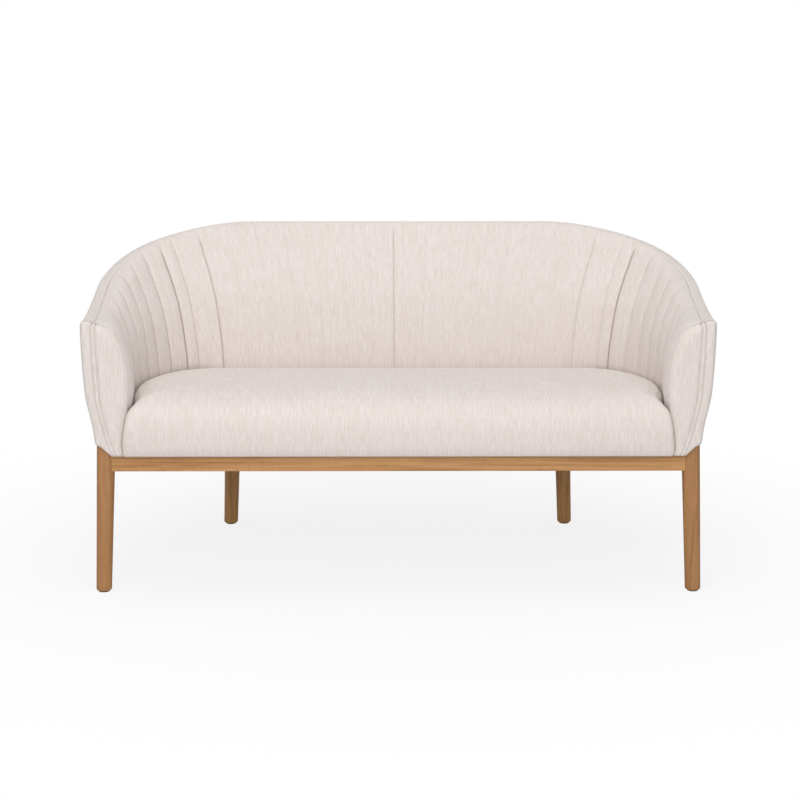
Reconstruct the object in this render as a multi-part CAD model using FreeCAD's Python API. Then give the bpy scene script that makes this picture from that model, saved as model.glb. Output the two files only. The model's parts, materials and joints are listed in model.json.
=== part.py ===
"""Barrel settee: a wooden leg frame under an upholstered body with a tight seat and a channelled round back.

Millimetres, +Z up, X along the width, the front towards -Y. The origin is on the floor under the middle of
the settee. Every sub-part is one named solid, or one group of like solids, written to parts/NAME.step.
"""
import FreeCAD, Part
import math
import os

from FreeCAD import Vector

# Overall size
WIDTH = 1360.0
DEPTH = 640.0
BACK_HEIGHT = 735.0
ARM_HEIGHT = 592.0

# Outer face of the body in plan, at the rim
RIM_CORNER = 330.0
ARM_TOE_IN = 10.0
ARM_FRONT_SETBACK = 10.0
BODY_FLARE = 30.0

# Inner face of the arms and the back in plan, at the seat
ARM_WIDTH = 88.0
SEAT_BACK_SETBACK = 170.0
SEAT_CORNER_WIDTH = 182.0
SEAT_CORNER_DEPTH = 285.0
CREASE_HEIGHT = 408.0

# Rim of the arms and the back
RIM_THICKNESS = 66.0
BAND_WIDTH = 28.0
BAND_EDGE = 8.0
ROLL_DEPTH = 34.0
ROLL_WIDTH = 11.0
ROLL_TOP = 10.0
RIM_EDGE = 12.0
SWEEP_POWER = 1.12

# Channels sewn in the inside back and arms
BACK_CHANNEL = 58.8
BACK_CHANNELS_PER_SIDE = 8
JOIN_CHANNEL = 30.0
ARM_CHANNEL = 49.0
CHANNEL_RISE = 3.6
CHANNEL_STEPS = 2
SLOPE_SHARE = 0.38

# Layers of the body, from the outside in
OUTER_COVER = 2.0
OUTER_PADDING = 5.0
OUTER_BOARD = 5.0
POST_DEPTH = 19.0
HESSIAN = 2.0
INNER_COVER = 3.0
FACING_THICKNESS = 11.6
POST_WIDTH = 22.0
FACING_DRAW = 9.0
FACING_EDGE = 3.5
FACING_HEM_LIFT = 1.0
FACING_HEM_DROP = 4.0
TOP_RAIL_DEPTH = 46.0
RIM_PAD_DEPTH = 16.0
RIM_PAD_EDGE = 6.0
BACK_POSTS_AFTER = (2, 10)
ARM_POSTS_AFTER = (0, 8)

# Seat
SEAT_CROWN = 35.0
SEAT_CROWN_RUN = 145.0
SEAT_SIDE_RUN = 125.0
SEAT_HEM_SETBACK = 23.0
SEAT_HEM_HEIGHT = 42.0
SEAT_FACE_SETBACK = 0.5
SEAT_FACE_DROP = 36.0
SEAT_EDGE_SETBACK = 8.0
SEAT_EDGE_DROP = 12.0
SEAT_EDGE_INSET = 1.5
SEAT_COVER = 3.0
SEAT_CLEARANCE = 1.2
SEAT_FRONT_RADIUS = 18.0
SEAT_PAD = 3.0
SEAT_RAIL_WIDTH = 22.0
SEAT_RAIL_HEIGHT = 21.0
SEAT_FRAME_INSET = 17.0
SEAT_FRAME_SETBACK = 16.0
SEAT_CORNER_RUN = 10.0
SEAT_CORNER_RISE = 75.0
SPRING_WIRE = 4.0
SPRING_PITCH = 22.0
SPRING_WIDTH = 50.0
SPRING_SPACING = 150.0
SPRING_END_SHARE = 0.35
TIE_WIRE = 3.0
TIE_WIRE_STEPS = (4.5, 9.5)
CLIP_SIZE = 16.0
CLIP_WALL = 1.3

# Base under the body
RAIL_BOTTOM = 269.5
RAIL_HEIGHT = 34.7
RAIL_THICKNESS = 24.0
RAIL_FRONT_SETBACK = 30.5
RAIL_EDGE = 1.5
RAIL_END = 8.0
RING_THICKNESS = 26.2
RING_SETBACK = 5.5
RING_FRONT_BORDER = 44.0
RING_SIDE_BORDER = 35.0
RING_BACK_BORDER = 39.0
RING_CORNER = 5.0
LEG_TOP_RADIUS = 20.0
LEG_FOOT_RADIUS = 16.8
LEG_FOOT_EDGE = 4.0
FRONT_LEG_INSET = 49.7
FRONT_LEG_SETBACK = 45.0
REAR_LEG_INSET = 281.7
REAR_LEG_SETBACK = 86.0
LEG_SPLAY_OUT = 0.042
LEG_SPLAY_BACK = 0.0345
FRONT_LEG_TOP = 330.0
GLIDE_HEIGHT = 2.5
GLIDE_RADIUS = 12.0

# Fasteners
DOWEL_RADIUS = 4.0
DOWEL_LENGTH = 34.0
DOWEL_HEIGHTS = (0.2, 0.8)
BOLT_RADIUS = 4.0
BOLT_LENGTH = 74.0
BOLT_START = 10.0
WASHER_RADIUS = 9.0
WASHER_THICKNESS = 1.6
NUT_RADIUS = 7.5
NUT_HEIGHT = 6.5
SCREW_RADIUS = 2.2
SCREW_LENGTH = 42.0
SCREW_HEAD_RADIUS = 4.4
SCREW_HEAD = 2.6
SCREW_INSET = 9.0
SCREW_SHARE = 0.6
NAIL_RADIUS = 1.3
NAIL_LENGTH = 18.0
BLOCK_SIZE = 55.0
BLOCK_HEIGHT = 28.0
DUST_COVER = 1.2
CROSS_RAIL_WIDTH = 45.0
CROSS_RAIL_LIFT = 4.0

# Clearances
GAP = 0.3
HOLE_GAP = 0.15

# Places worked out from the sizes above
RAIL_TOP = RAIL_BOTTOM + RAIL_HEIGHT
RAIL_MIDDLE = RAIL_BOTTOM + RAIL_HEIGHT / 2
BLOCK_BOTTOM = RAIL_TOP - BLOCK_HEIGHT
BODY_BOTTOM = RAIL_TOP + DUST_COVER + 2 * GAP
RING_TOP = BODY_BOTTOM + RING_THICKNESS
FRAME_BOTTOM = RING_TOP + GAP
BACK_Y = DEPTH / 2
FRONT_Y = -DEPTH / 2
ARM_FRONT_Y = FRONT_Y + ARM_FRONT_SETBACK
ARM_END_Y = ARM_FRONT_Y + FACING_THICKNESS + GAP
RAIL_FRONT_Y = FRONT_Y + RAIL_FRONT_SETBACK
RAIL_BACK_Y = RAIL_FRONT_Y + RAIL_THICKNESS
RING_FRONT_Y = RAIL_FRONT_Y + RING_SETBACK
FRONT_LEG = (WIDTH / 2 - FRONT_LEG_INSET, FRONT_Y + FRONT_LEG_SETBACK)
REAR_LEG = (WIDTH / 2 - REAR_LEG_INSET, BACK_Y - REAR_LEG_SETBACK)
SEAT_HALF = WIDTH / 2 - ARM_WIDTH
SEAT_FLAT = SEAT_HALF - SEAT_CORNER_WIDTH
SEAT_BACK_Y = BACK_Y - SEAT_BACK_SETBACK
SEAT_FRAME_SIDE = SEAT_HALF - SEAT_FRAME_INSET
SEAT_FRAME_BACK = SEAT_BACK_Y - SEAT_FRAME_SETBACK
SEAT_CORNER_X = SEAT_FLAT - SEAT_CORNER_RUN
SEAT_CORNER_Y = SEAT_BACK_Y - SEAT_CORNER_DEPTH + SEAT_CORNER_RISE
SPRING_START = RING_FRONT_Y + SEAT_RAIL_WIDTH / 2
SEAT_RAIL_TOP = FRAME_BOTTOM + SEAT_RAIL_HEIGHT
SPRING_Z = SEAT_RAIL_TOP + GAP + SPRING_WIRE / 2
CLIP_TOP = SPRING_Z + SPRING_WIRE / 2 + GAP + CLIP_WALL
PAD_BOTTOM = CLIP_TOP + GAP
FOAM_BOTTOM = PAD_BOTTOM + SEAT_PAD + GAP

# Depths of the body's layers behind its outer face
PADDING_AT = OUTER_COVER + GAP
BOARD_AT = PADDING_AT + OUTER_PADDING + GAP
POST_AT = BOARD_AT + OUTER_BOARD + GAP
HESSIAN_AT = POST_AT + POST_DEPTH + GAP
FOAM_AT = HESSIAN_AT + HESSIAN + GAP

# Shares of a rounded edge's radius at the middle of its arc, and of a layer's depth on a slanted roll
EDGE_SHARE = 0.3
ROLL_SHARE = 0.7

# Facing's section: shares of its thickness and of its edges' draw-in
FACING_STEPS = ((0.0, 0.0), (0.45, 0.11), (0.8, 0.4), (1.0, 1.0))
FACING_HEM_IN = 0.32
FACING_HEM_OUT = 0.54

# Seat's crown: shares of its height, of its run behind the front and of its run inside the arms
CROWN_STEPS = ((0.23, 0.17, 0.06), (0.57, 0.33, 0.16), (0.8, 0.52, 0.34), (0.94, 0.75, 0.64),
               (1.0, 1.0, 1.0))


class Guide:
    """Half of a plan curve from the middle of the back to the arm's front: a line, a quarter ellipse, a line."""

    STEPS = 240

    def __init__(self, half_width, back_y, flat, corner_depth, front_y, toe_in=0.0):
        points = [(0.0, back_y)]
        for step in range(self.STEPS + 1):
            turn = math.pi / 2 * step / self.STEPS
            x = flat + (half_width - flat) * math.sin(turn)
            points.append((x, back_y - corner_depth * (1 - math.cos(turn))))
        side_y = back_y - corner_depth
        for step in range(1, self.STEPS + 1):
            share = step / self.STEPS
            points.append((half_width - toe_in * share ** 2, side_y + (front_y - side_y) * share))
        self.points = points
        self.lengths = [0.0]
        for first, second in zip(points, points[1:]):
            self.lengths.append(self.lengths[-1] + math.dist(first, second))
        self.length = self.lengths[-1]

    def at(self, share):
        """Point at a share of the curve's length."""
        target = share * self.length
        for index in range(1, len(self.lengths)):
            if self.lengths[index] >= target - 1e-9:
                break
        span = self.lengths[index] - self.lengths[index - 1]
        part = (target - self.lengths[index - 1]) / span
        first, second = self.points[index - 1], self.points[index]
        return (first[0] + (second[0] - first[0]) * part, first[1] + (second[1] - first[1]) * part)


INNER = Guide(SEAT_HALF, SEAT_BACK_Y, SEAT_FLAT, SEAT_CORNER_DEPTH, ARM_END_Y)
OUTER = Guide(WIDTH / 2, BACK_Y, WIDTH / 2 - RIM_CORNER, RIM_CORNER, ARM_END_Y, ARM_TOE_IN)


class Station:
    """An upright plane across the body, with its inner point, its direction outwards and the rim's height."""

    def __init__(self, along):
        share = along / INNER.length
        inner, outer = INNER.at(share), OUTER.at(share)
        self.along = along
        self.origin = Vector(inner[0], inner[1], 0)
        across = Vector(outer[0] - inner[0], outer[1] - inner[1], 0)
        self.width = across.Length
        self.across = across.normalize()
        flat_share = (WIDTH / 2 - RIM_CORNER) / OUTER.length
        drop = min(1.0, (1 - share) / (1 - flat_share))
        swell = (3 * drop ** 2 - 2 * drop ** 3) ** SWEEP_POWER
        self.rim = ARM_HEIGHT + (BACK_HEIGHT - ARM_HEIGHT) * swell
        self.flare = BODY_FLARE - max(0.0, WIDTH / 2 - outer[0]) * (outer[1] < BACK_Y - RIM_CORNER)

    def point(self, width, height):
        return self.origin + self.across * width + Vector(0, 0, height)

    def outer_face(self, depth, low, high):
        """Three points of the outer face, at a depth behind it, from a low height to a high one."""
        heights = (low, (low + high) / 2, high)
        top, bottom = self.rim - RIM_EDGE, BODY_BOTTOM
        shares = [min(1.0, max(0.0, (top - height) / (top - bottom))) for height in heights]
        return [self.point(self.width - depth - self.flare * share ** 2, height)
                for share, height in zip(shares, heights)]

    def inner_face(self, depth, rise=0.0):
        """Points of the inner face from the frame's bottom to the band, at a depth behind it."""
        seat = depth - rise
        top_width = self.width - RIM_THICKNESS
        top_height = self.rim - ROLL_DEPTH
        band = self.width - BAND_WIDTH - GAP
        return [self.point(depth, FRAME_BOTTOM),
                self.point(seat, CREASE_HEIGHT),
                self.point(top_width * SLOPE_SHARE + seat, (CREASE_HEIGHT + top_height) / 2),
                self.point(top_width + seat, top_height),
                self.point(top_width + ROLL_WIDTH + seat * ROLL_SHARE,
                           self.rim - ROLL_TOP - seat * ROLL_SHARE),
                self.point(band, self.rim - depth)]


def seam_lengths():
    """Places of the seams along the inner guide, on one side, from the middle to the arm's front."""
    lengths = [BACK_CHANNEL * count for count in range(BACK_CHANNELS_PER_SIDE + 1)]
    lengths.append(lengths[-1] + JOIN_CHANNEL)
    while lengths[-1] + 1.5 * ARM_CHANNEL < INNER.length:
        lengths.append(lengths[-1] + ARM_CHANNEL)
    return lengths + [INNER.length]


def station_lengths():
    """Places of the stations: each seam and the middle of each channel."""
    seams = seam_lengths()
    lengths = [seams[0]]
    for first, second in zip(seams, seams[1:]):
        lengths += [(first + second) / 2, second]
    return lengths


STATIONS = [Station(along) for along in station_lengths()]
JOIN_INDEX = 2 * (BACK_CHANNELS_PER_SIDE + 1)
LAST_INDEX = len(STATIONS) - 1


def blend(first, second, share):
    """Points between two equal lists of points."""
    return [a + (b - a) * share for a, b in zip(first, second)]


def mirrored(points):
    return [Vector(-point.x, point.y, point.z) for point in points]


def line(first, second):
    return Part.makeLine(first, second)


def arc(first, middle, last):
    return Part.Arc(first, middle, last).toShape()


def strip_wire(points):
    """Wire of a layer: an outer face of three points and an inner face of three points."""
    low_out, mid_out, top_out, low_in, mid_in, top_in = points
    return Part.Wire([arc(low_out, mid_out, top_out), line(top_out, top_in),
                      arc(top_in, mid_in, low_in), line(low_in, low_out)])


def solid_through(wires, ruled=True):
    """Closed solid through a row of wires."""
    shape = Part.makeLoft(wires, True, ruled)
    if shape.Volume < 0:
        shape.reverse()
    return shape


def side_sections(points_at, first, last):
    """Lists of points at the stations from one index to another, on the right side."""
    return [points_at(STATIONS[index]) for index in range(first, last + 1)]


def whole(right):
    """Sections of both sides, from the left end to the right one."""
    return [mirrored(points) for points in reversed(right[1:])] + right


def around(points_at, wire_of):
    """Solid that follows the whole body round."""
    sections = whole(side_sections(points_at, 0, LAST_INDEX))
    return solid_through([wire_of(points) for points in sections])


def layer(depth, thickness, low, high_drop):
    """Strip of the body that follows its outer face, from a height to a drop below the rim."""
    def points_at(station):
        high = station.rim - high_drop
        return station.outer_face(depth, low, high) + station.outer_face(depth + thickness, low, high)
    return around(points_at, strip_wire)


def mirror_shape(shape):
    return shape.mirror(Vector(0, 0, 0), Vector(1, 0, 0))


def box(low, high):
    size = [b - a for a, b in zip(low, high)]
    return Part.makeBox(size[0], size[1], size[2], Vector(*low))


def largest(shape):
    """The piece that is left when a cut frees slivers."""
    return max(shape.Solids, key=lambda solid: solid.Volume)


def both_sides(shape):
    return Part.makeCompound([shape, mirror_shape(shape)])


# Body: cover, padding, board, posts and rails

def leg_notch():
    """Corner of the body's hem that is open for the front leg's top."""
    low = (FRONT_LEG[0] - 2 * LEG_TOP_RADIUS, ARM_FRONT_Y - GAP, BODY_BOTTOM - GAP)
    high = (WIDTH / 2, FRONT_LEG[1] + LEG_TOP_RADIUS + 3 * GAP, FRAME_BOTTOM)
    return box(low, high)


def outer_back_cover():
    cover = layer(0.0, OUTER_COVER, BODY_BOTTOM, RIM_EDGE)
    return cover.cut(leg_notch()).cut(mirror_shape(leg_notch()))


def outer_padding():
    return layer(PADDING_AT, OUTER_PADDING, FRAME_BOTTOM, RIM_PAD_DEPTH)


def outer_back_board():
    return layer(BOARD_AT, OUTER_BOARD, FRAME_BOTTOM, RIM_PAD_DEPTH)


def top_rail():
    def points_at(station):
        high = station.rim - RIM_PAD_DEPTH
        low = high - TOP_RAIL_DEPTH
        return station.outer_face(POST_AT, low, high) + station.outer_face(POST_AT + POST_DEPTH, low, high)
    return around(points_at, strip_wire)


def hessian():
    return layer(HESSIAN_AT, HESSIAN, FRAME_BOTTOM, RIM_PAD_DEPTH)


def flattened(points):
    """Points moved onto the upright plane through the first and the last of them."""
    start = Vector(points[0].x, points[0].y, 0)
    along = Vector(points[-1].x, points[-1].y, 0) - start
    along.normalize()
    return [start + along * (point - start).dot(along) + Vector(0, 0, point.z) for point in points]


def post_points(station):
    high = station.rim - RIM_PAD_DEPTH - TOP_RAIL_DEPTH - GAP
    inner = station.outer_face(POST_AT + POST_DEPTH, FRAME_BOTTOM, high)
    return station.outer_face(POST_AT, FRAME_BOTTOM, high) + inner


def post_after(index, share):
    """Post of the frame past a station, at a share of the way to the next one."""
    first, second = STATIONS[index], STATIONS[index + 1]
    half = POST_WIDTH / 2 / (second.along - first.along)
    ends = [blend(post_points(first), post_points(second), share + side * half) for side in (-1, 1)]
    return solid_through([strip_wire(flattened(points)) for points in ends])


def back_posts():
    return Part.makeCompound([both_sides(post_after(index, 0.5)) for index in BACK_POSTS_AFTER])


def arm_posts():
    return Part.makeCompound([both_sides(post_after(JOIN_INDEX + index, 0.5)) for index in ARM_POSTS_AFTER])


def arm_front_post():
    last = STATIONS[-1].along - STATIONS[-2].along
    return post_after(LAST_INDEX - 1, 1 - POST_WIDTH / 2 / last)


def rim_padding():
    """Foam strip on the top rail, under the band."""
    def points_at(station):
        low, high = station.rim - RIM_PAD_DEPTH + GAP, station.rim - OUTER_COVER - GAP
        outside, inside = station.width - PADDING_AT, station.width - BAND_WIDTH
        edge, bend = RIM_PAD_EDGE, RIM_PAD_EDGE * EDGE_SHARE
        return [station.point(outside, low), station.point(outside, high - edge),
                station.point(outside - bend, high - bend), station.point(outside - edge, high),
                station.point(inside, high), station.point(inside, low)]

    def wire_of(points):
        low_out, edge_low, edge_mid, edge_top, top_in, low_in = points
        return Part.Wire([line(low_out, edge_low), arc(edge_low, edge_mid, edge_top),
                          line(edge_top, top_in), line(top_in, low_in), line(low_in, low_out)])
    return around(points_at, wire_of)


def rim_band():
    """Fabric strip round the rim, folded down over the outer edge."""
    def points_at(station):
        rim, width = station.rim, station.width
        low, inside, thin = rim - RIM_EDGE + GAP, width - BAND_WIDTH, OUTER_COVER
        bend = BAND_EDGE * EDGE_SHARE
        fold = bend + thin * ROLL_SHARE
        return [station.point(width, low), station.point(width, rim - BAND_EDGE),
                station.point(width - bend, rim - bend), station.point(width - BAND_EDGE, rim),
                station.point(inside, rim), station.point(inside, rim - thin),
                station.point(width - BAND_EDGE, rim - thin), station.point(width - fold, rim - fold),
                station.point(width - thin, rim - BAND_EDGE), station.point(width - thin, low)]

    def wire_of(points):
        return Part.Wire([line(points[0], points[1]), arc(*points[1:4]), line(points[3], points[4]),
                          line(points[4], points[5]), line(points[5], points[6]), arc(*points[6:9]),
                          line(points[8], points[9]), line(points[9], points[0])])
    return around(points_at, wire_of)


# Inside back and arms: foam and channelled cover

def foam_points(station):
    """Section of the inside foam, round the hessian and over the rail to the band."""
    high = station.rim - RIM_PAD_DEPTH + GAP
    back = station.outer_face(FOAM_AT, FRAME_BOTTOM, high)
    front = station.inner_face(INNER_COVER + GAP)
    ledge = station.point(station.width - BAND_WIDTH - GAP, high)
    return back + [ledge] + front


def foam_wire(points):
    back_low, back_mid, back_top, ledge, low, crease, middle, top, roll, band = points
    return Part.Wire([arc(back_low, back_mid, back_top), line(back_top, ledge), line(ledge, band),
                      arc(band, roll, top), arc(top, middle, crease), line(crease, low),
                      line(low, back_low)])


def cover_wire(points):
    """Wire of the inner cover from its shown face and its hidden face."""
    front, back = points[:6], points[6:]
    return Part.Wire([line(front[0], front[1]), arc(front[1], front[2], front[3]),
                      arc(front[3], front[4], front[5]), line(front[5], back[5]),
                      arc(back[5], back[4], back[3]), arc(back[3], back[2], back[1]),
                      line(back[1], back[0]), line(back[0], front[0])])


def arm_foam():
    sections = side_sections(foam_points, JOIN_INDEX, LAST_INDEX)
    return solid_through([foam_wire(points) for points in sections])


def back_foam():
    sections = whole(side_sections(foam_points, 0, JOIN_INDEX))
    return solid_through([foam_wire(points) for points in sections])


def cover_points(index, share):
    """Section of the inner cover past a station, at a share of the way to the next one."""
    first, second = STATIONS[index], STATIONS[min(index + 1, LAST_INDEX)]
    rise = CHANNEL_RISE * math.sin(math.pi * (index % 2 + share) / 2) ** 0.8
    front = blend(first.inner_face(0.0, rise), second.inner_face(0.0, rise), share)
    return front + blend(first.inner_face(INNER_COVER), second.inner_face(INNER_COVER), share)


def cover_sections(first, last):
    """Sections of the inner cover from one seam to another: low at the seams, round between them."""
    shares = [step / CHANNEL_STEPS for step in range(CHANNEL_STEPS)]
    sections = [cover_points(index, share) for index in range(first, last) for share in shares]
    return sections + [cover_points(last, 0.0)]


def arm_inner_cover():
    return solid_through([cover_wire(points) for points in cover_sections(JOIN_INDEX, LAST_INDEX)])


def back_inner_cover():
    return solid_through([cover_wire(points) for points in whole(cover_sections(0, JOIN_INDEX))])


def facing_wire(station, forward, inset):
    """Outline of the arm's front at a distance before the arm's end, drawn in by an inset."""
    rim, width, shift = station.rim, station.width, Vector(0, -forward, 0)

    def at(across, height):
        return station.point(across, height) + shift
    outer = [at(width - inset - flare, height) for flare, height in
             ((station.flare, FRAME_BOTTOM), (station.flare / 4, (FRAME_BOTTOM + rim) / 2),
              (0.0, rim - RIM_EDGE))]
    edge = at(width - inset - FACING_EDGE, rim - FACING_EDGE - inset)
    top_out, top_in = at(width - inset - RIM_EDGE, rim - inset), at(width - BAND_WIDTH, rim - inset)
    roll = at(width - RIM_THICKNESS + ROLL_WIDTH + inset * ROLL_SHARE, rim - ROLL_TOP - inset * ROLL_SHARE)
    pad = at(width - RIM_THICKNESS + inset, rim - ROLL_DEPTH)
    middle = at((width - RIM_THICKNESS) * SLOPE_SHARE + inset, (CREASE_HEIGHT + rim - ROLL_DEPTH) / 2)
    swell = inset - CHANNEL_RISE
    crease, low = at(swell, CREASE_HEIGHT), at(swell, BODY_BOTTOM)
    hem_in = at(width * FACING_HEM_IN, BODY_BOTTOM + FACING_HEM_LIFT)
    hem_out = at(width * FACING_HEM_OUT, FRAME_BOTTOM - FACING_HEM_DROP)
    return Part.Wire([arc(outer[0], outer[1], outer[2]), arc(outer[2], edge, top_out), line(top_out, top_in),
                      arc(top_in, roll, pad), arc(pad, middle, crease), line(crease, low),
                      line(low, hem_in), line(hem_in, hem_out), line(hem_out, outer[0])])


def arm_facing():
    """Padded front of the right arm, with drawn-in edges."""
    station = STATIONS[-1]
    return solid_through([facing_wire(station, GAP + FACING_THICKNESS * forward, FACING_DRAW * inset)
                          for forward, inset in FACING_STEPS])


# Seat

def seat_outline(height, front_y, inset):
    """Plan outline of the seat at a height: straight front and sides, elliptical rear corners."""
    half = SEAT_HALF - inset
    back_y = SEAT_BACK_Y - inset
    flat = SEAT_FLAT
    corner = (half - flat, SEAT_CORNER_DEPTH - inset)
    side_y = back_y - corner[1]
    radius = SEAT_FRONT_RADIUS

    def on_corner(turn):
        angle = math.radians(turn)
        return Vector(flat + corner[0] * math.sin(angle), side_y + corner[1] * math.cos(angle), height)
    bend = radius * (1 - math.sqrt(0.5))
    right = [Vector(half - radius, front_y, height), Vector(half - bend, front_y + bend, height),
             Vector(half, front_y + radius, height), on_corner(90), on_corner(67.5), on_corner(45),
             on_corner(22.5), on_corner(0)]
    left = mirrored(right)
    return Part.Wire([line(left[0], right[0]), arc(*right[0:3]), line(right[2], right[3]),
                      arc(*right[3:6]), arc(*right[5:8]), line(right[7], left[7]), arc(*left[7:4:-1]),
                      arc(*left[5:2:-1]), line(left[3], left[2]), arc(*left[2::-1])])


def seat_block(skin, bottom):
    """Crowned seat, drawn in round its edge, taken in all round by a skin."""
    levels = [(BODY_BOTTOM, SEAT_HEM_SETBACK, 0.0),
              (BODY_BOTTOM + SEAT_HEM_HEIGHT, SEAT_FACE_SETBACK, 0.0),
              (CREASE_HEIGHT - SEAT_FACE_DROP, SEAT_FACE_SETBACK, 0.0),
              (CREASE_HEIGHT - SEAT_EDGE_DROP, SEAT_EDGE_SETBACK, SEAT_EDGE_INSET)]
    levels += [(CREASE_HEIGHT + SEAT_CROWN * rise, SEAT_CROWN_RUN * front, SEAT_SIDE_RUN * side)
               for rise, front, side in CROWN_STEPS]
    wires = []
    for place, (height, front, inset) in enumerate(levels):
        level = bottom if place == 0 else height - skin
        side = inset + skin + CHANNEL_RISE + SEAT_CLEARANCE
        wires.append(seat_outline(level, FRONT_Y + front + skin, side))
    return solid_through(wires, ruled=False)


def under_seat(top):
    """Space behind the seat's front border and under a height."""
    return box((-SEAT_HALF, RING_FRONT_Y - GAP, RAIL_BOTTOM), (SEAT_HALF, BACK_Y, top))


def seat_cover():
    cover = seat_block(0.0, BODY_BOTTOM).cut(seat_block(SEAT_COVER, BODY_BOTTOM - SEAT_COVER))
    return cover.cut(under_seat(FRAME_BOTTOM))


def seat_foam():
    return seat_block(SEAT_COVER + GAP, BODY_BOTTOM).cut(under_seat(FOAM_BOTTOM))


def seat_front_rail():
    return box((-SEAT_FRAME_SIDE, RING_FRONT_Y, FRAME_BOTTOM),
               (SEAT_FRAME_SIDE, RING_FRONT_Y + SEAT_RAIL_WIDTH, SEAT_RAIL_TOP))


def seat_rear_rail():
    return box((-SEAT_CORNER_X, SEAT_FRAME_BACK - SEAT_RAIL_WIDTH, FRAME_BOTTOM),
               (SEAT_CORNER_X, SEAT_FRAME_BACK, SEAT_RAIL_TOP))


def seat_side_rail():
    return box((SEAT_FRAME_SIDE - SEAT_RAIL_WIDTH, RING_FRONT_Y + SEAT_RAIL_WIDTH + GAP, FRAME_BOTTOM),
               (SEAT_FRAME_SIDE, SEAT_CORNER_Y, SEAT_RAIL_TOP))


def prism(points, bottom, top):
    """Upright prism on a plan polygon."""
    corners = [Vector(x, y, bottom) for x, y in points]
    return Part.Face(Part.makePolygon(corners + corners[:1])).extrude(Vector(0, 0, top - bottom))


def seat_corner_rail():
    """Slanted rail across the seat frame's rear corner."""
    side_in, side_out = SEAT_FRAME_SIDE - SEAT_RAIL_WIDTH, SEAT_FRAME_SIDE
    low, end = SEAT_CORNER_Y + GAP, SEAT_CORNER_X + GAP
    points = [(side_out, low), (end, SEAT_FRAME_BACK), (end, SEAT_FRAME_BACK - SEAT_RAIL_WIDTH),
              (side_in, low)]
    return prism(points, FRAME_BOTTOM, SEAT_RAIL_TOP)


def corner_rail_y(x):
    """Middle of the slanted rail at a place along the width."""
    start, end = SEAT_FRAME_SIDE - SEAT_RAIL_WIDTH / 2, SEAT_CORNER_X
    share = (start - x) / (start - end)
    return SEAT_CORNER_Y + share * (SEAT_FRAME_BACK - SEAT_RAIL_WIDTH / 2 - SEAT_CORNER_Y)


def spring_bars(x):
    """Number of gaps between a spring's bars, so that its last bar lies on the rail behind."""
    end = SEAT_FRAME_BACK - SEAT_RAIL_WIDTH / 2
    if abs(x) > SEAT_CORNER_X:
        end = corner_rail_y(abs(x))
    return int((end - SPRING_START) / SPRING_PITCH + SPRING_END_SHARE)


def spring(x):
    """Sinuous spring: bars across, joined by half turns at alternate ends."""
    radius = SPRING_PITCH / 2
    reach = SPRING_WIDTH / 2 - radius - SPRING_WIRE / 2
    edges = []
    bars = spring_bars(x)
    for bar in range(bars + 1):
        y, side = SPRING_START + bar * SPRING_PITCH, 1 if bar % 2 == 0 else -1
        start, end = Vector(x - side * reach, y, SPRING_Z), Vector(x + side * reach, y, SPRING_Z)
        edges.append(line(start, end))
        if bar < bars:
            for quarter in (0, 1):
                angles = [math.radians(-90 + 90 * quarter + step) for step in (0, 45, 90)]
                turn = [end + Vector(side * radius * math.cos(a), radius + radius * math.sin(a), 0)
                        for a in angles]
                edges.append(arc(*turn))
    path = Part.Wire(edges)
    section = Part.Wire(Part.makeCircle(SPRING_WIRE / 2, Vector(x - reach, SPRING_START, SPRING_Z),
                                        Vector(1, 0, 0)))
    return path.makePipeShell([section], True, False)


def spring_places():
    count = int((SEAT_FRAME_SIDE - SEAT_RAIL_WIDTH - SPRING_WIDTH) / SPRING_SPACING)
    return [SPRING_SPACING * step for step in range(-count, count + 1)]


def sinuous_springs():
    return Part.makeCompound([spring(x) for x in spring_places()])


def spring_clip(x, y):
    """Clip that holds a spring's end bar on a rail."""
    half = CLIP_SIZE / 2
    block = box((x - half, y - half, SEAT_RAIL_TOP), (x + half, y + half, CLIP_TOP))
    channel = Part.makeCylinder(SPRING_WIRE / 2 + HOLE_GAP, 2 * CLIP_SIZE,
                                Vector(x - CLIP_SIZE, y, SPRING_Z), Vector(1, 0, 0))
    return block.cut(channel)


def spring_clips():
    clips = []
    for x in spring_places():
        clips.append(spring_clip(x, SPRING_START))
        clips.append(spring_clip(x, SPRING_START + spring_bars(x) * SPRING_PITCH))
    return Part.makeCompound(clips)


def spring_tie_wires():
    reach = SEAT_FRAME_SIDE - SEAT_RAIL_WIDTH - GAP
    height = SPRING_Z - SPRING_WIRE / 2 - GAP - TIE_WIRE / 2
    places = [SPRING_START + SPRING_PITCH * step for step in TIE_WIRE_STEPS]
    return Part.makeCompound([Part.makeCylinder(TIE_WIRE / 2, 2 * reach, Vector(-reach, y, height),
                                                Vector(1, 0, 0)) for y in places])


def seat_insulator_pad():
    """Felt sheet between the springs and the foam."""
    front = RING_FRONT_Y
    outline = seat_outline(PAD_BOTTOM, front, SEAT_COVER + CHANNEL_RISE + SEAT_CLEARANCE + 2 * GAP)
    return Part.Face(outline).extrude(Vector(0, 0, SEAT_PAD))


# Base: ring, rails, legs and fasteners

def ring_hole():
    """Opening of the base ring, inside the seat frame."""
    side, front = SEAT_FRAME_SIDE - RING_SIDE_BORDER, RING_FRONT_Y + RING_FRONT_BORDER
    back = SEAT_FRAME_BACK - RING_BACK_BORDER
    corner_x, corner_y = SEAT_CORNER_X - RING_CORNER, SEAT_CORNER_Y
    return [(-side, front), (side, front), (side, corner_y), (corner_x, back), (-corner_x, back),
            (-side, corner_y)]


def body_plan(inset):
    """Plan of the body's underside, taken in by an inset and straight along the front."""
    right = [station.point(station.width - station.flare - inset, 0) for station in STATIONS]
    side = [(point.x, point.y) for point in right if point.y > RING_FRONT_Y]
    front = [(side[-1][0], RING_FRONT_Y), (-side[-1][0], RING_FRONT_Y)]
    return [(-x, y) for x, y in reversed(side[1:])] + side + front


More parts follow.
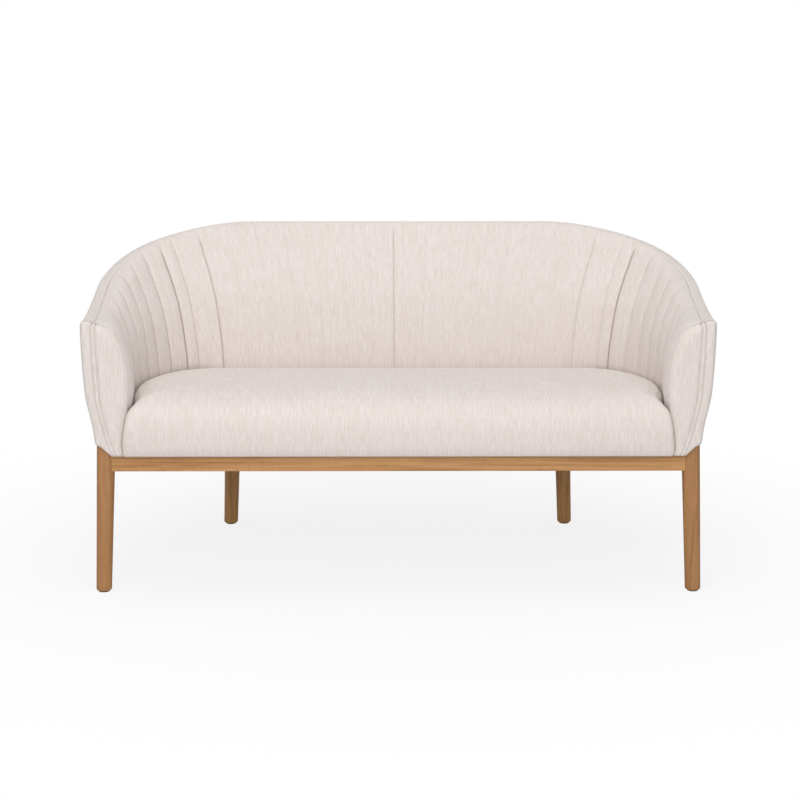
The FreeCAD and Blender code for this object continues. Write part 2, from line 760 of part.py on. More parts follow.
def on_the_base(shape):
    """Sheet under the body, notched round the front legs and drilled for the body's screws."""
    for sign in (1, -1):
        shape = shape.cut(leg_cone(sign * FRONT_LEG[0], FRONT_LEG[1], GAP))
    return largest(shape.cut(Part.makeCompound([screw(*place, HOLE_GAP) for place in screw_places()])))


def base_ring():
    """Plywood ring that carries the body."""
    ring = prism(body_plan(OUTER_COVER + 2 * GAP), BODY_BOTTOM, RING_TOP)
    return on_the_base(ring.cut(prism(ring_hole(), BODY_BOTTOM - GAP, RING_TOP + GAP)))


def leg_axis(x, y):
    """Foot and head of a leg's axis, splayed outwards and to the nearer of front and back."""
    side, end = math.copysign(1, x), math.copysign(1, y)
    slope = Vector(side * LEG_SPLAY_OUT, end * LEG_SPLAY_BACK, -1)
    top = Vector(x, y, RAIL_TOP)
    return top, slope


def leg_at(x, y, height):
    top, slope = leg_axis(x, y)
    return top + slope * (top.z - height)


def leg_radius(height):
    share = height / FRONT_LEG_TOP
    return LEG_FOOT_RADIUS + (LEG_TOP_RADIUS - LEG_FOOT_RADIUS) * share


def leg_cone(x, y, gap):
    """Tapered round leg, longer than needed at both ends and larger all round by a gap."""
    low, high = -LEG_TOP_RADIUS, FRONT_LEG_TOP + LEG_TOP_RADIUS
    foot, head = leg_at(x, y, low), leg_at(x, y, high)
    return Part.makeCone(leg_radius(low) + gap, leg_radius(high) + gap, (head - foot).Length, foot,
                         head - foot)


def leg(x, y, top):
    """Leg cut level at the floor end and the top, with its foot's edge rounded and its holes made."""
    reach = 5 * LEG_TOP_RADIUS
    slab = box((x - reach, y - reach, GLIDE_HEIGHT), (x + reach, y + reach, top))
    shape = leg_cone(x, y, 0.0).common(slab)
    low = [edge for edge in shape.Edges if edge.BoundBox.ZMax < GLIDE_HEIGHT + GAP]
    shape = shape.makeFillet(LEG_FOOT_EDGE, low)
    foot = leg_at(x, y, GLIDE_HEIGHT)
    nail_hole = peg(foot, Vector(0, 0, 1), NAIL_RADIUS + HOLE_GAP, NAIL_LENGTH + GAP)
    return shape.cut(dowel_holes()).cut(bolt_hole(x, y)).cut(nail_hole)


def peg(start, direction, radius, length):
    return Part.makeCylinder(radius, length, start, direction)


def dowel_places():
    """Starts and directions of the dowels that join the rails to the legs."""
    heights = [RAIL_BOTTOM + RAIL_HEIGHT * share for share in DOWEL_HEIGHTS]
    half = DOWEL_LENGTH / 2 + GAP
    places = []
    for height in heights:
        for sign in (1, -1):
            front, rear = leg_at(FRONT_LEG[0], FRONT_LEG[1], height), leg_at(*REAR_LEG, height)
            edge = leg_radius(height)
            inward, back = Vector(-sign, 0, 0), Vector(0, 1, 0)
            rail_y = (RAIL_FRONT_Y + RAIL_BACK_Y) / 2
            places.append((Vector(sign * (front.x - edge + half), rail_y, height), inward))
            places.append((Vector(sign * front.x, front.y + edge - half, height), back))
            places.append((Vector(sign * (rear.x - edge + half), rear.y, height), inward))
            places.append((Vector(sign * (rear.x + edge - half), rear.y, height), Vector(sign, 0, 0)))
    return places


def rail_dowels():
    return Part.makeCompound([peg(start + direction * GAP, direction, DOWEL_RADIUS, DOWEL_LENGTH)
                              for start, direction in dowel_places()])


def dowel_holes():
    return Part.makeCompound([peg(start, direction, DOWEL_RADIUS + HOLE_GAP, DOWEL_LENGTH + 2 * GAP)
                              for start, direction in dowel_places()])


def bolt_hole(x, y):
    start, direction = bolt_place(x, y)
    return peg(start - direction * GAP, direction, BOLT_RADIUS + HOLE_GAP, BOLT_LENGTH + 2 * GAP)


def fitted_rail(shape):
    """Rail coped round the legs, with its dowel holes and clear of the leg bolts."""
    for place in leg_places():
        shape = shape.cut(leg_cone(*place, GAP / 2)).cut(bolt_hole(*place))
    return largest(shape.cut(dowel_holes()))


def eased(shape):
    """Rail with its long edges eased."""
    long_edges = [edge for edge in shape.Edges if edge.Length > 2 * RAIL_HEIGHT]
    return shape.makeFillet(RAIL_EDGE, long_edges)


def front_rail():
    reach = leg_at(*FRONT_LEG, RAIL_TOP).x - RAIL_END
    shape = box((-reach, RAIL_FRONT_Y, RAIL_BOTTOM), (reach, RAIL_BACK_Y, RAIL_TOP))
    return fitted_rail(eased(shape))


def rear_rail():
    half = RAIL_THICKNESS / 2
    y = leg_at(*REAR_LEG, RAIL_MIDDLE).y
    shape = box((-REAR_LEG[0], y - half, RAIL_BOTTOM), (REAR_LEG[0], y + half, RAIL_TOP))
    return fitted_rail(eased(shape))


def side_rail():
    """Bent rail from the right front leg round to the right rear leg."""
    half = RAIL_THICKNESS / 2
    front = leg_at(*FRONT_LEG, RAIL_MIDDLE)
    rear = leg_at(*REAR_LEG, RAIL_MIDDLE)
    radius = front.x - rear.x - LEG_TOP_RADIUS
    centre = Vector(front.x - radius, rear.y - radius, RAIL_BOTTOM)

    def turn(angle, reach):
        return centre + Vector(math.cos(angle), math.sin(angle), 0) * reach
    outer = [turn(math.radians(angle), radius + half) for angle in (0, 45, 90)]
    inner = [turn(math.radians(angle), radius - half) for angle in (90, 45, 0)]
    outside = Vector(front.x + half, front.y, RAIL_BOTTOM)
    inside = Vector(front.x - half, front.y, RAIL_BOTTOM)
    end_out = Vector(rear.x, rear.y + half, RAIL_BOTTOM)
    end_in = Vector(rear.x, rear.y - half, RAIL_BOTTOM)
    wire = Part.Wire([line(inside, outside), line(outside, outer[0]), arc(*outer), line(outer[2], end_out),
                      line(end_out, end_in), line(end_in, inner[0]), arc(*inner), line(inner[2], inside)])
    return fitted_rail(eased(Part.Face(wire).extrude(Vector(0, 0, RAIL_HEIGHT))))


def front_block_corner():
    """Inner corner of the front rail and the right side rail."""
    front = leg_at(*FRONT_LEG, RAIL_MIDDLE)
    return front.x - RAIL_THICKNESS / 2 - GAP, RAIL_BACK_Y + GAP


def front_block():
    x, y = front_block_corner()
    shape = prism([(x, y), (x, y + BLOCK_SIZE), (x - BLOCK_SIZE, y)], BLOCK_BOTTOM, RAIL_TOP)
    return drilled_block(shape, FRONT_LEG)


def rear_block_face():
    """Front face of the rear corner block."""
    rear = leg_at(*REAR_LEG, RAIL_MIDDLE)
    return rear.y - RAIL_THICKNESS / 2 - GAP - BLOCK_SIZE / 2


def rear_block():
    rear = leg_at(*REAR_LEG, RAIL_MIDDLE)
    face = rear_block_face()
    half = BLOCK_SIZE / 2
    shape = box((rear.x - half, face, BLOCK_BOTTOM), (rear.x + half, face + BLOCK_SIZE / 2, RAIL_TOP))
    return drilled_block(shape, REAR_LEG)


def drilled_block(shape, place):
    """Corner block cut clear of its leg, with its bolt and screw holes."""
    shape = shape.cut(leg_cone(*place, GAP)).cut(bolt_hole(*place))
    for point in screw_places():
        shape = shape.cut(screw(*point, HOLE_GAP))
    return largest(shape)


def bolt_place(x, y):
    """Start inside a leg and direction of the hanger bolt that holds it to its corner block."""
    centre = leg_at(x, y, RAIL_MIDDLE)
    side = math.copysign(1, x)
    direction = Vector(-side, 1, 0).normalize() if y < 0 else Vector(0, -1, 0)
    return centre - direction * BOLT_START, direction


def bolt_seat(x, y):
    """Distance along the bolt to the block's face."""
    start, direction = bolt_place(x, y)
    if y > 0:
        return start.y - rear_block_face()
    corner_x, corner_y = front_block_corner()
    face = Vector(math.copysign(corner_x - BLOCK_SIZE / 2, x), corner_y + BLOCK_SIZE / 2, start.z)
    return (face - start).dot(direction)


def leg_places():
    return [(sign * x, y) for x, y in (FRONT_LEG, REAR_LEG) for sign in (-1, 1)]


def leg_bolts():
    bolts = []
    for place in leg_places():
        start, direction = bolt_place(*place)
        bolts.append(peg(start, direction, BOLT_RADIUS, BOLT_LENGTH))
    return Part.makeCompound(bolts)


def ringed(place, offset, outer, length):
    """Ring on a leg bolt, past the block's face."""
    start, direction = bolt_place(*place)
    at = start + direction * (bolt_seat(*place) + offset)
    return peg(at, direction, outer, length).cut(peg(at, direction, BOLT_RADIUS + HOLE_GAP, length))


def leg_bolt_washers():
    return Part.makeCompound([ringed(place, 0.0, WASHER_RADIUS, WASHER_THICKNESS) for place in leg_places()])


def leg_bolt_nuts():
    """Hexagon nuts on the leg bolts."""
    nuts = []
    for place in leg_places():
        start, direction = bolt_place(*place)
        at = start + direction * (bolt_seat(*place) + WASHER_THICKNESS)
        aside = Vector(0, 0, 1).cross(direction)
        corners = [at + aside * (NUT_RADIUS * math.cos(math.radians(60 * step)))
                   + Vector(0, 0, NUT_RADIUS * math.sin(math.radians(60 * step))) for step in range(7)]
        nut = Part.Face(Part.makePolygon(corners)).extrude(direction * NUT_HEIGHT)
        nuts.append(nut.cut(peg(at, direction, BOLT_RADIUS + HOLE_GAP, NUT_HEIGHT)))
    return Part.makeCompound(nuts)


def screw_places():
    """Feet of the screws that hold the body to the corner blocks, two on each block."""
    x, y = front_block_corner()
    rear = leg_at(*REAR_LEG, RAIL_MIDDLE)
    rear_y = rear_block_face() + SCREW_INSET
    along = BLOCK_SIZE * SCREW_SHARE
    front = [(x - SCREW_INSET, y + along), (x - along, y + SCREW_INSET)]
    behind = [(rear.x - BLOCK_SIZE / 3, rear_y), (rear.x + BLOCK_SIZE / 3, rear_y)]
    return [(sign * px, py) for px, py in front + behind for sign in (-1, 1)]


def screw(x, y, gap):
    """Countersunk wood screw from under a block up into the ring."""
    foot = Vector(x, y, BLOCK_BOTTOM)
    up = Vector(0, 0, 1)
    head = Part.makeCone(SCREW_HEAD_RADIUS + gap, SCREW_RADIUS + gap, SCREW_HEAD, foot, up)
    return head.fuse(Part.makeCylinder(SCREW_RADIUS + gap, SCREW_LENGTH + gap, foot, up))


def body_screws():
    return Part.makeCompound([screw(x, y, 0.0) for x, y in screw_places()])


def centre_cross_rail():
    half = CROSS_RAIL_WIDTH / 2
    rear = leg_at(*REAR_LEG, RAIL_MIDDLE)
    back_y = rear.y - RAIL_THICKNESS / 2 - GAP
    return box((-half, RAIL_BACK_Y + GAP, RAIL_BOTTOM + CROSS_RAIL_LIFT), (half, back_y, RAIL_TOP))


def dust_cover():
    """Thin cloth over the body's whole underside, held between the ring and the rails."""
    plan = body_plan(OUTER_COVER + 6 * GAP)
    return on_the_base(prism(plan, RAIL_TOP + GAP, RAIL_TOP + GAP + DUST_COVER))


def glide(x, y):
    foot = leg_at(x, y, GLIDE_HEIGHT)
    disc = Part.makeCylinder(GLIDE_RADIUS, GLIDE_HEIGHT, Vector(foot.x, foot.y, 0), Vector(0, 0, 1))
    hole = Part.makeCylinder(NAIL_RADIUS + HOLE_GAP, GLIDE_HEIGHT, Vector(foot.x, foot.y, GLIDE_HEIGHT / 2),
                             Vector(0, 0, 1))
    return disc.cut(hole)


def glide_nails():
    nails = []
    for place in leg_places():
        foot = leg_at(*place, GLIDE_HEIGHT)
        start = Vector(foot.x, foot.y, GLIDE_HEIGHT / 2 + HOLE_GAP)
        nails.append(peg(start, Vector(0, 0, 1), NAIL_RADIUS, NAIL_LENGTH))
    return Part.makeCompound(nails)


def pair(name, shape):
    """A right-hand piece and its mirror image, as two nodes."""
    return {"right_" + name: shape, "left_" + name: mirror_shape(shape)}


def nodes():
    """Every sub-part by name."""
    parts = {
        "front_rail": front_rail(), "rear_rail": rear_rail(), "centre_cross_rail": centre_cross_rail(),
        "base_ring": base_ring(), "rail_dowels": rail_dowels(), "leg_bolts": leg_bolts(),
        "leg_bolt_washers": leg_bolt_washers(), "leg_bolt_nuts": leg_bolt_nuts(),
        "body_screws": body_screws(), "glide_nails": glide_nails(), "dust_cover": dust_cover(),
        "front_corner_blocks": both_sides(front_block()), "rear_corner_blocks": both_sides(rear_block()),
        "seat_front_rail": seat_front_rail(), "seat_rear_rail": seat_rear_rail(),
        "sinuous_springs": sinuous_springs(), "spring_clips": spring_clips(),
        "spring_tie_wires": spring_tie_wires(), "seat_insulator_pad": seat_insulator_pad(),
        "seat_foam": seat_foam(), "seat_cover": seat_cover(),
        "outer_back_cover": outer_back_cover(), "outer_padding": outer_padding(),
        "outer_back_board": outer_back_board(), "top_rail": top_rail(), "back_hessian": hessian(),
        "back_posts": back_posts(), "arm_posts": arm_posts(), "rim_padding": rim_padding(),
        "rim_band": rim_band(), "back_foam": back_foam(), "back_inner_cover": back_inner_cover(),
    }
    parts.update(pair("side_rail", side_rail()))
    parts.update(pair("seat_side_rail", seat_side_rail()))
    parts.update(pair("seat_corner_rail", seat_corner_rail()))
    parts.update(pair("arm_front_post", arm_front_post()))
    parts.update(pair("arm_foam", arm_foam()))
    parts.update(pair("arm_inner_cover", arm_inner_cover()))
    parts.update(pair("arm_facing", arm_facing()))
    parts.update(pair("front_leg", leg(*FRONT_LEG, FRONT_LEG_TOP)))
    parts.update(pair("rear_leg", leg(*REAR_LEG, RAIL_TOP)))
    parts.update(pair("front_glide", glide(*FRONT_LEG)))
    parts.update(pair("rear_glide", glide(*REAR_LEG)))
    return parts


def main():
    os.makedirs("parts", exist_ok=True)
    for name, shape in nodes().items():
        shape.exportStep("parts/" + name + ".step")
        print(name, len(shape.Solids), "valid" if shape.isValid() else "INVALID",
              round(shape.Volume / 1000.0, 1), "cm3")


main()
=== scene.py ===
"""Barrel settee, dressed: woven covers, sewn channels, topstitching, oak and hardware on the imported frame.

Metres, +Z up, X along the width, the front towards -Y, the origin on the floor under the middle of the settee.
"""

import json
import logging
import math
from dataclasses import dataclass, field
from enum import Enum
from typing import Callable, Sequence, Union

import bpy
import numpy as np
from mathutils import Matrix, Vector

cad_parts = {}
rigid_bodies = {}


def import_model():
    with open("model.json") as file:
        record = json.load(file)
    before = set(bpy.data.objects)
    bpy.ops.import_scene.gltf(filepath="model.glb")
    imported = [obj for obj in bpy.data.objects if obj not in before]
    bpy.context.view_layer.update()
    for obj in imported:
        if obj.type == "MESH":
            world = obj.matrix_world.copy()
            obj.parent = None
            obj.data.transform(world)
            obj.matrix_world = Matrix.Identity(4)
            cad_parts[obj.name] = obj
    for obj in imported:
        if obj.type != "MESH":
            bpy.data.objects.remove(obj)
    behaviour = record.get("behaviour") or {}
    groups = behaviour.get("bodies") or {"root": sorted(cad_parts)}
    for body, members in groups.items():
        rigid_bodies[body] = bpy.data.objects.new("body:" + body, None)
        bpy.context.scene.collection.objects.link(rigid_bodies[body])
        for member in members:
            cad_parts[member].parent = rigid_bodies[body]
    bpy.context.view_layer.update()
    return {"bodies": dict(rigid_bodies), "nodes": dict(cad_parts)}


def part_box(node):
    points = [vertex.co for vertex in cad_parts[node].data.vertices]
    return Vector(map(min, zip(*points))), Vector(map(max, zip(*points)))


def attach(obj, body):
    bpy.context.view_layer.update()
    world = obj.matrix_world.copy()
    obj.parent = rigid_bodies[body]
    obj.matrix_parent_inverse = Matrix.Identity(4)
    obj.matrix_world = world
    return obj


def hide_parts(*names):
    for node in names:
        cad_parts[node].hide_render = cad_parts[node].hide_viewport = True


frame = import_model()
BODY = next(iter(frame["bodies"]))
LOG = logging.getLogger("settee")
Array = np.ndarray
TINY = 1e-12
FULL_TURN = 2 * math.pi
QUARTER_TURN = math.pi / 2


# Shader maths and node trees

def operator(operation: str, flip: bool = False) -> Callable[["Sock", "Value"], "Sock"]:
    """Arithmetic operator that adds one Math node.

    Args:
        operation: Name of the Math node's operation.
        flip: Whether the two values change places.

    Returns:
        The operator, as a method of Sock.
    """
    return lambda self, other: self.math(operation, other, flip)


class Sock:
    """Output of a shader node that can be used in arithmetic."""

    def __init__(self, tree: "Tree", socket: bpy.types.NodeSocket) -> None:
        """Keeps the socket and the tree that new nodes go to."""
        self.tree = tree
        self.socket = socket

    def math(self, operation: str, other: "Value" = 0.0, flip: bool = False) -> "Sock":
        """Adds one Math node.

        Args:
            operation: Name of the Math node's operation.
            other: Second value, or the first one when flipped.
            flip: Whether the two values change places.

        Returns:
            The node's result.
        """
        first, second = (other, self) if flip else (self, other)
        return self.tree.read("ShaderNodeMath", 0, {"operation": operation}, {0: first, 1: second})

    def sine(self) -> "Sock":
        """Sine of the value."""
        return self.math("SINE")

    def step(self, low: float, high: float) -> "Sock":
        """Smooth step from 0 at a low value to 1 at a high one."""
        return self.tree.read("ShaderNodeMapRange", 0, {"interpolation_type": "SMOOTHSTEP"},
                              {"Value": self, "From Min": low, "From Max": high})

    __add__ = __radd__ = operator("ADD")
    __sub__ = operator("SUBTRACT")
    __rsub__ = operator("SUBTRACT", flip=True)
    __mul__ = __rmul__ = operator("MULTIPLY")
    __truediv__ = operator("DIVIDE")
    __pow__ = operator("POWER")


Value = Union[float, int, Sequence[float], bpy.types.NodeSocket, Sock]


class Tree:
    """Node tree that ends in one output node."""

    def __init__(self, tree: bpy.types.NodeTree, output: str) -> None:
        """Empties the tree and adds its output."""
        self.tree = tree
        self.tree.nodes.clear()
        self.output = self.tree.nodes.new(output)

    def node(self, kind: str, settings: dict | None = None, values: dict | None = None) -> bpy.types.Node:
        """Adds a node.

        Args:
            kind: The node's type.
            settings: Its properties, set before anything else.
            values: Values or links for its inputs, by name or place.

        Returns:
            The node.
        """
        node = self.tree.nodes.new(kind)
        for key, value in (settings or {}).items():
            setattr(node, key, value)
        for key, value in (values or {}).items():
            target = node.inputs[key]
            if isinstance(value, Sock):
                value = value.socket
            if isinstance(value, bpy.types.NodeSocket):
                self.tree.links.new(value, target)
            elif target.type == "RGBA" and len(value) == 3:
                target.default_value = (*value, 1.0)
            else:
                target.default_value = value
        return node

    def read(self, kind: str, output: int | str, settings: dict | None = None, values: dict | None = None) -> Sock:
        """Adds a node and gives one of its outputs, by name or place."""
        return Sock(self, self.node(kind, settings, values).outputs[output])

    def end(self, node: bpy.types.Node) -> None:
        """Links a node to the tree's output."""
        self.tree.links.new(node.outputs[0], self.output.inputs[0])


class Shader(Tree):
    """One material's node tree."""

    def __init__(self, name: str) -> None:
        """Makes an empty material with a surface output."""
        self.material = bpy.data.materials.new(name)
        self.material.use_nodes = True
        super().__init__(self.material.node_tree, "ShaderNodeOutputMaterial")

    def coordinates(self, uv: str = "") -> "Split":
        """Position on the piece: a UV map's name, or Object coordinates when it is empty."""
        source = (self.read("ShaderNodeUVMap", "UV", {"uv_map": uv}) if uv
                  else self.read("ShaderNodeTexCoord", "Object"))
        parts = self.node("ShaderNodeSeparateXYZ", None, {0: source})
        return Split(*(Sock(self, output) for output in parts.outputs))

    def vector(self, x: Value, y: Value, z: Value) -> Sock:
        """Vector of three values."""
        return self.read("ShaderNodeCombineXYZ", 0, None, {0: x, 1: y, 2: z})

    def noise(self, place: Sock, scale: float, detail: float, rough: float = 0.5, warp: float = 0.0) -> Sock:
        """Noise value, near 0.5 on average."""
        return self.read("ShaderNodeTexNoise", "Fac", None, {"Vector": place, "Scale": scale, "Detail": detail,
                                                             "Roughness": rough, "Distortion": warp})

    def streaks(self, x: Value, y: Value, z: Value = 0.0, detail: float = 1.0, rough: float = 0.5,
                warp: float = 0.0) -> Sock:
        """Noise value at coordinates that were stretched beforehand."""
        return self.noise(self.vector(x, y, z), 1.0, detail, rough, warp)

    def mix(self, share: Value, first: Value, second: Value) -> Sock:
        """Colour between two colours."""
        return self.read("ShaderNodeMix", 2, {"data_type": "RGBA"}, {0: share, 6: first, 7: second})

    def layered(self, ground: Value, *layers: tuple[Sock, float, float, Value, Value]) -> Value:
        """Colour with further colours laid over it.

        Args:
            ground: The lowest colour.
            layers: A pattern, the values where its layer starts and is full, its strength and its colour.

        Returns:
            The colour of them all.
        """
        for pattern, low, high, strength, tint in layers:
            ground = self.mix(pattern.step(low, high) * strength, ground, tint)
        return ground

    def bump(self, height: Sock, distance: float, strength: float) -> Sock:
        """Surface normal raised by a height in metres per unit."""
        return self.read("ShaderNodeBump", 0, None, {"Strength": strength, "Distance": distance, "Height": height})

    def surface(self, **values: Value) -> bpy.types.Material:
        """Ends the tree in one Principled surface.

        Args:
            values: Inputs by name, with underscores for spaces.

        Returns:
            The material.
        """
        named = {key.replace("_", " "): value for key, value in values.items()}
        self.end(self.node("ShaderNodeBsdfPrincipled", None, named))
        return self.material


@dataclass(frozen=True)
class Split:
    """Three parts of a position."""

    x: Sock
    y: Sock
    z: Sock


def srgb(red: int, green: int, blue: int) -> tuple[float, float, float]:
    """Linear colour of a screen colour given in 0 to 255."""
    def linear(level: float) -> float:
        """One channel."""
        return level / 12.92 if level <= 0.04045 else ((level + 0.055) / 1.055) ** 2.4
    return linear(red / 255), linear(green / 255), linear(blue / 255)


# Finishes

class Grain(Enum):
    """Direction that the wood's fibres run in."""

    WIDTH = "x"
    DEPTH = "y"
    HEIGHT = "z"


def by_grain(at: Split, grain: Grain) -> tuple[Sock, Sock, Sock]:
    """Coordinate along the fibres, then the two across them."""
    parts = {"x": at.x, "y": at.y, "z": at.z}
    return (parts.pop(grain.value), *parts.values())


class Finish:
    """Procedural finish of one kind of surface."""

    UV = ""

    def make(self, name: str, **piece: object) -> bpy.types.Material:
        """Builds the material.

        Args:
            name: The material's name.
            piece: What the look takes from the piece, such as the direction of its grain.

        Returns:
            The material.
        """
        shader = Shader(name)
        return shader.surface(**self.look(shader, shader.coordinates(self.UV), **piece))


@dataclass(frozen=True)
class SlubCloth(Finish):
    """Off-white upholstery cloth with vertical slubs in beige and pale grey, on a UV map in metres."""

    UV = "cloth"
    ground: tuple = srgb(226, 217, 213)
    pale: tuple = srgb(236, 229, 226)
    beige: tuple = srgb(214, 202, 192)
    grey: tuple = srgb(208, 201, 200)
    fleck: tuple = srgb(166, 149, 140)
    shadow: tuple = srgb(158, 143, 134)
    painted_seam_shade: float = 0.85
    slub_width: float = 0.0017
    slub_length: float = 0.030
    thread: float = 0.0011

    def look(self, shader: Shader, at: Split) -> dict[str, Value]:
        """Slubs that sway a little, single flecks, painted shade in seams and creases, and the threads' relief."""
        sway = shader.streaks(at.x * 30, at.y * 14) * 0.0022
        across, along = at.x + sway, at.y
        slub = shader.streaks(across / self.slub_width, along / self.slub_length)
        fine = shader.streaks(across / (self.slub_width * 0.5) + 31.0, along / (self.slub_length * 0.6))
        broad = shader.streaks(across / 0.008 + 7.0, along / 0.12, detail=2.0)
        mottle = shader.streaks(at.x * 9, at.y * 9, detail=2.0)
        speck = shader.streaks(across / 0.0016 + 83.0, along / 0.0045, detail=0.0)
        colour = shader.layered(self.ground, (broad, 0.35, 0.7, 0.35, self.beige), (slub, 0.5, 0.68, 0.55, self.beige),
                                (1 - slub, 0.52, 0.7, 0.55, self.pale), (fine, 0.52, 0.7, 0.5, self.grey),
                                (speck, 0.77, 0.82, 0.6, self.fleck), (mottle, 0.3, 0.75, 0.12, self.beige))
        # Painted shade: the seam attribute darkens the cloth towards the shadow colour in seams, creases and corners.
        seam = shader.read("ShaderNodeAttribute", "Fac", {"attribute_name": "seam"})
        colour = shader.mix(seam * self.painted_seam_shade, colour, self.shadow)
        warp = (at.x * (FULL_TURN / self.thread)).sine()
        weft = (at.y * (FULL_TURN / (self.thread * 1.25))).sine()
        relief = slub * 1.4 + fine * 0.5 + (warp * weft * 0.5 + 0.5) * 0.35
        return dict(Base_Color=colour, Roughness=0.98 - slub * 0.1, Normal=shader.bump(relief, 0.00045, 0.75),
                    Sheen_Weight=0.18, Sheen_Roughness=0.5, Specular_IOR_Level=0.25)


@dataclass(frozen=True)
class OakFinish(Finish):
    """Oiled oak, honey brown, with fine pores and soft growth bands."""

    light: tuple = srgb(197, 147, 93)
    middle: tuple = srgb(175, 124, 71)
    dark: tuple = srgb(138, 92, 49)
    pore: tuple = srgb(108, 70, 40)

    def look(self, shader: Shader, at: Split, grain: Grain, seed: float) -> dict[str, Value]:
        """Growth bands, fibres and pores along the grain; the seed shifts them, so that like pieces differ."""
        along, side, face = by_grain(at, grain)
        drift = shader.streaks(along * 3.1 + seed, side * 9, face * 9, 2.0)
        bands = shader.streaks(along * 2.3 + seed, side * 150 + drift * 5.0, face * 150 + seed, 3.0)
        fibres = shader.streaks(along * 22 + seed, side * 1500, face * 1500, 3.0)
        pores = shader.streaks(along * 75 + seed, side * 2300, face * 2300)
        patch = shader.streaks(along * 1.7 + seed * 2, side * 20, face * 20)
        colour = shader.layered(self.light, (bands, 0.32, 0.68, 1.0, self.middle), (bands, 0.55, 0.8, 0.55, self.dark),
                                (fibres, 0.5, 0.72, 0.4, self.dark), (pores, 0.62, 0.7, 0.55, self.pore),
                                (patch, 0.4, 0.8, 0.3, self.middle))
        relief = fibres * -0.6 - pores.step(0.6, 0.72) * 0.8 + bands * 0.3
        return dict(Base_Color=colour, Roughness=0.46 + fibres * 0.16, Normal=shader.bump(relief, 0.0002, 0.6),
                    Coat_Weight=0.06, Coat_Roughness=0.35)


@dataclass(frozen=True)
class TimberFinish(Finish):
    """Bare sawn timber of the hidden frame."""

    light: tuple = srgb(222, 196, 154)
    dark: tuple = srgb(176, 141, 96)

    def look(self, shader: Shader, at: Split, grain: Grain) -> dict[str, Value]:
        """Wandering bands and a sawn fuzz."""
        along, side, face = by_grain(at, grain)
        bands = shader.streaks(along * 3, side * 110, face * 110, 3.0, warp=0.4)
        fuzz = shader.streaks(along * 160, side * 700, face * 700, 2.0)
        colour = shader.layered(self.light, (bands, 0.3, 0.7, 1.0, self.dark), (fuzz, 0.55, 0.75, 0.35, self.dark))
        return dict(Base_Color=colour, Roughness=0.75 + fuzz * 0.15,
                    Normal=shader.bump(fuzz + bands * 0.5, 0.0004, 0.7))


@dataclass(frozen=True)
class PlyFinish(Finish):
    """Plywood: pale faces, with its plies showing on the edges."""

    face: tuple = srgb(222, 193, 148)
    ply: tuple = srgb(164, 122, 77)
    thickness: float = 0.0026

    def look(self, shader: Shader, at: Split) -> dict[str, Value]:
        """Grain on the faces and dark plies where the surface stands upright."""
        grain = shader.streaks(at.x * 6, at.y * 120, at.z * 90, 3.0, warp=0.5)
        plies = (at.z * (FULL_TURN / self.thickness)).sine()
        upright = shader.read("ShaderNodeNewGeometry", "True Normal")
        level = shader.read("ShaderNodeSeparateXYZ", 2, None, {0: upright})
        edge = 1 - level.math("ABSOLUTE").step(0.3, 0.7)
        colour = shader.layered(self.face, (grain, 0.3, 0.75, 0.6, self.ply), (plies, -0.2, 0.4, edge, self.ply))
        return dict(Base_Color=colour, Roughness=0.7 + grain * 0.15, Normal=shader.bump(grain, 0.0003, 0.5))


@dataclass(frozen=True)
class BoardFinish(Finish):
    """Brown fibreboard with a pressed, speckled surface."""

    base: tuple = srgb(150, 119, 88)
    speck: tuple = srgb(108, 82, 58)

    def look(self, shader: Shader, at: Split) -> dict[str, Value]:
        """Short fibres under faint clouds."""
        place = shader.vector(at.x, at.y, at.z)
        fibre = shader.noise(place, 420.0, 4.0, 0.7)
        cloud = shader.noise(place, 14.0, 2.0)
        colour = shader.layered(self.base, (fibre, 0.45, 0.7, 1.0, self.speck), (cloud, 0.35, 0.7, 0.3, self.speck))
        return dict(Base_Color=colour, Roughness=0.82 + fibre * 0.1, Normal=shader.bump(fibre, 0.0002, 0.6))


@dataclass(frozen=True)
class SteelFinish(Finish):
    """Zinc-plated steel with faint brushing and dull spots."""

    bright: tuple = srgb(196, 197, 199)
    dull: tuple = srgb(140, 141, 144)

    def look(self, shader: Shader, at: Split) -> dict[str, Value]:
        """Dull spots on brushed metal."""
        spots = shader.noise(shader.vector(at.x, at.y, at.z), 90.0, 3.0)
        brush = shader.streaks(at.x * 40, at.y * 900, at.z * 900, 2.0)
        return dict(Base_Color=shader.layered(self.bright, (spots, 0.4, 0.7, 1.0, self.dull)), Metallic=1.0,
                    Roughness=0.3 + spots * 0.25, Normal=shader.bump(brush, 0.00005, 0.5))


@dataclass(frozen=True)
class NylonFinish(Finish):
    """Dark moulded nylon, matt, scuffed where it stands on the floor."""

    base: tuple = srgb(62, 54, 48)
    scuff: tuple = srgb(118, 108, 98)

    def look(self, shader: Shader, at: Split) -> dict[str, Value]:
        """Fine pits, and wear in the lowest millimetres."""
        place = shader.vector(at.x, at.y, at.z)
        pits = shader.noise(place, 1500.0, 2.0)
        low = 1 - at.z.step(0.0, 0.0018)
        colour = shader.layered(self.base, (shader.noise(place, 160.0, 3.0), 0.45, 0.75, low, self.scuff))
        return dict(Base_Color=colour, Roughness=0.5 + pits * 0.2, Normal=shader.bump(pits, 0.00008, 0.6))


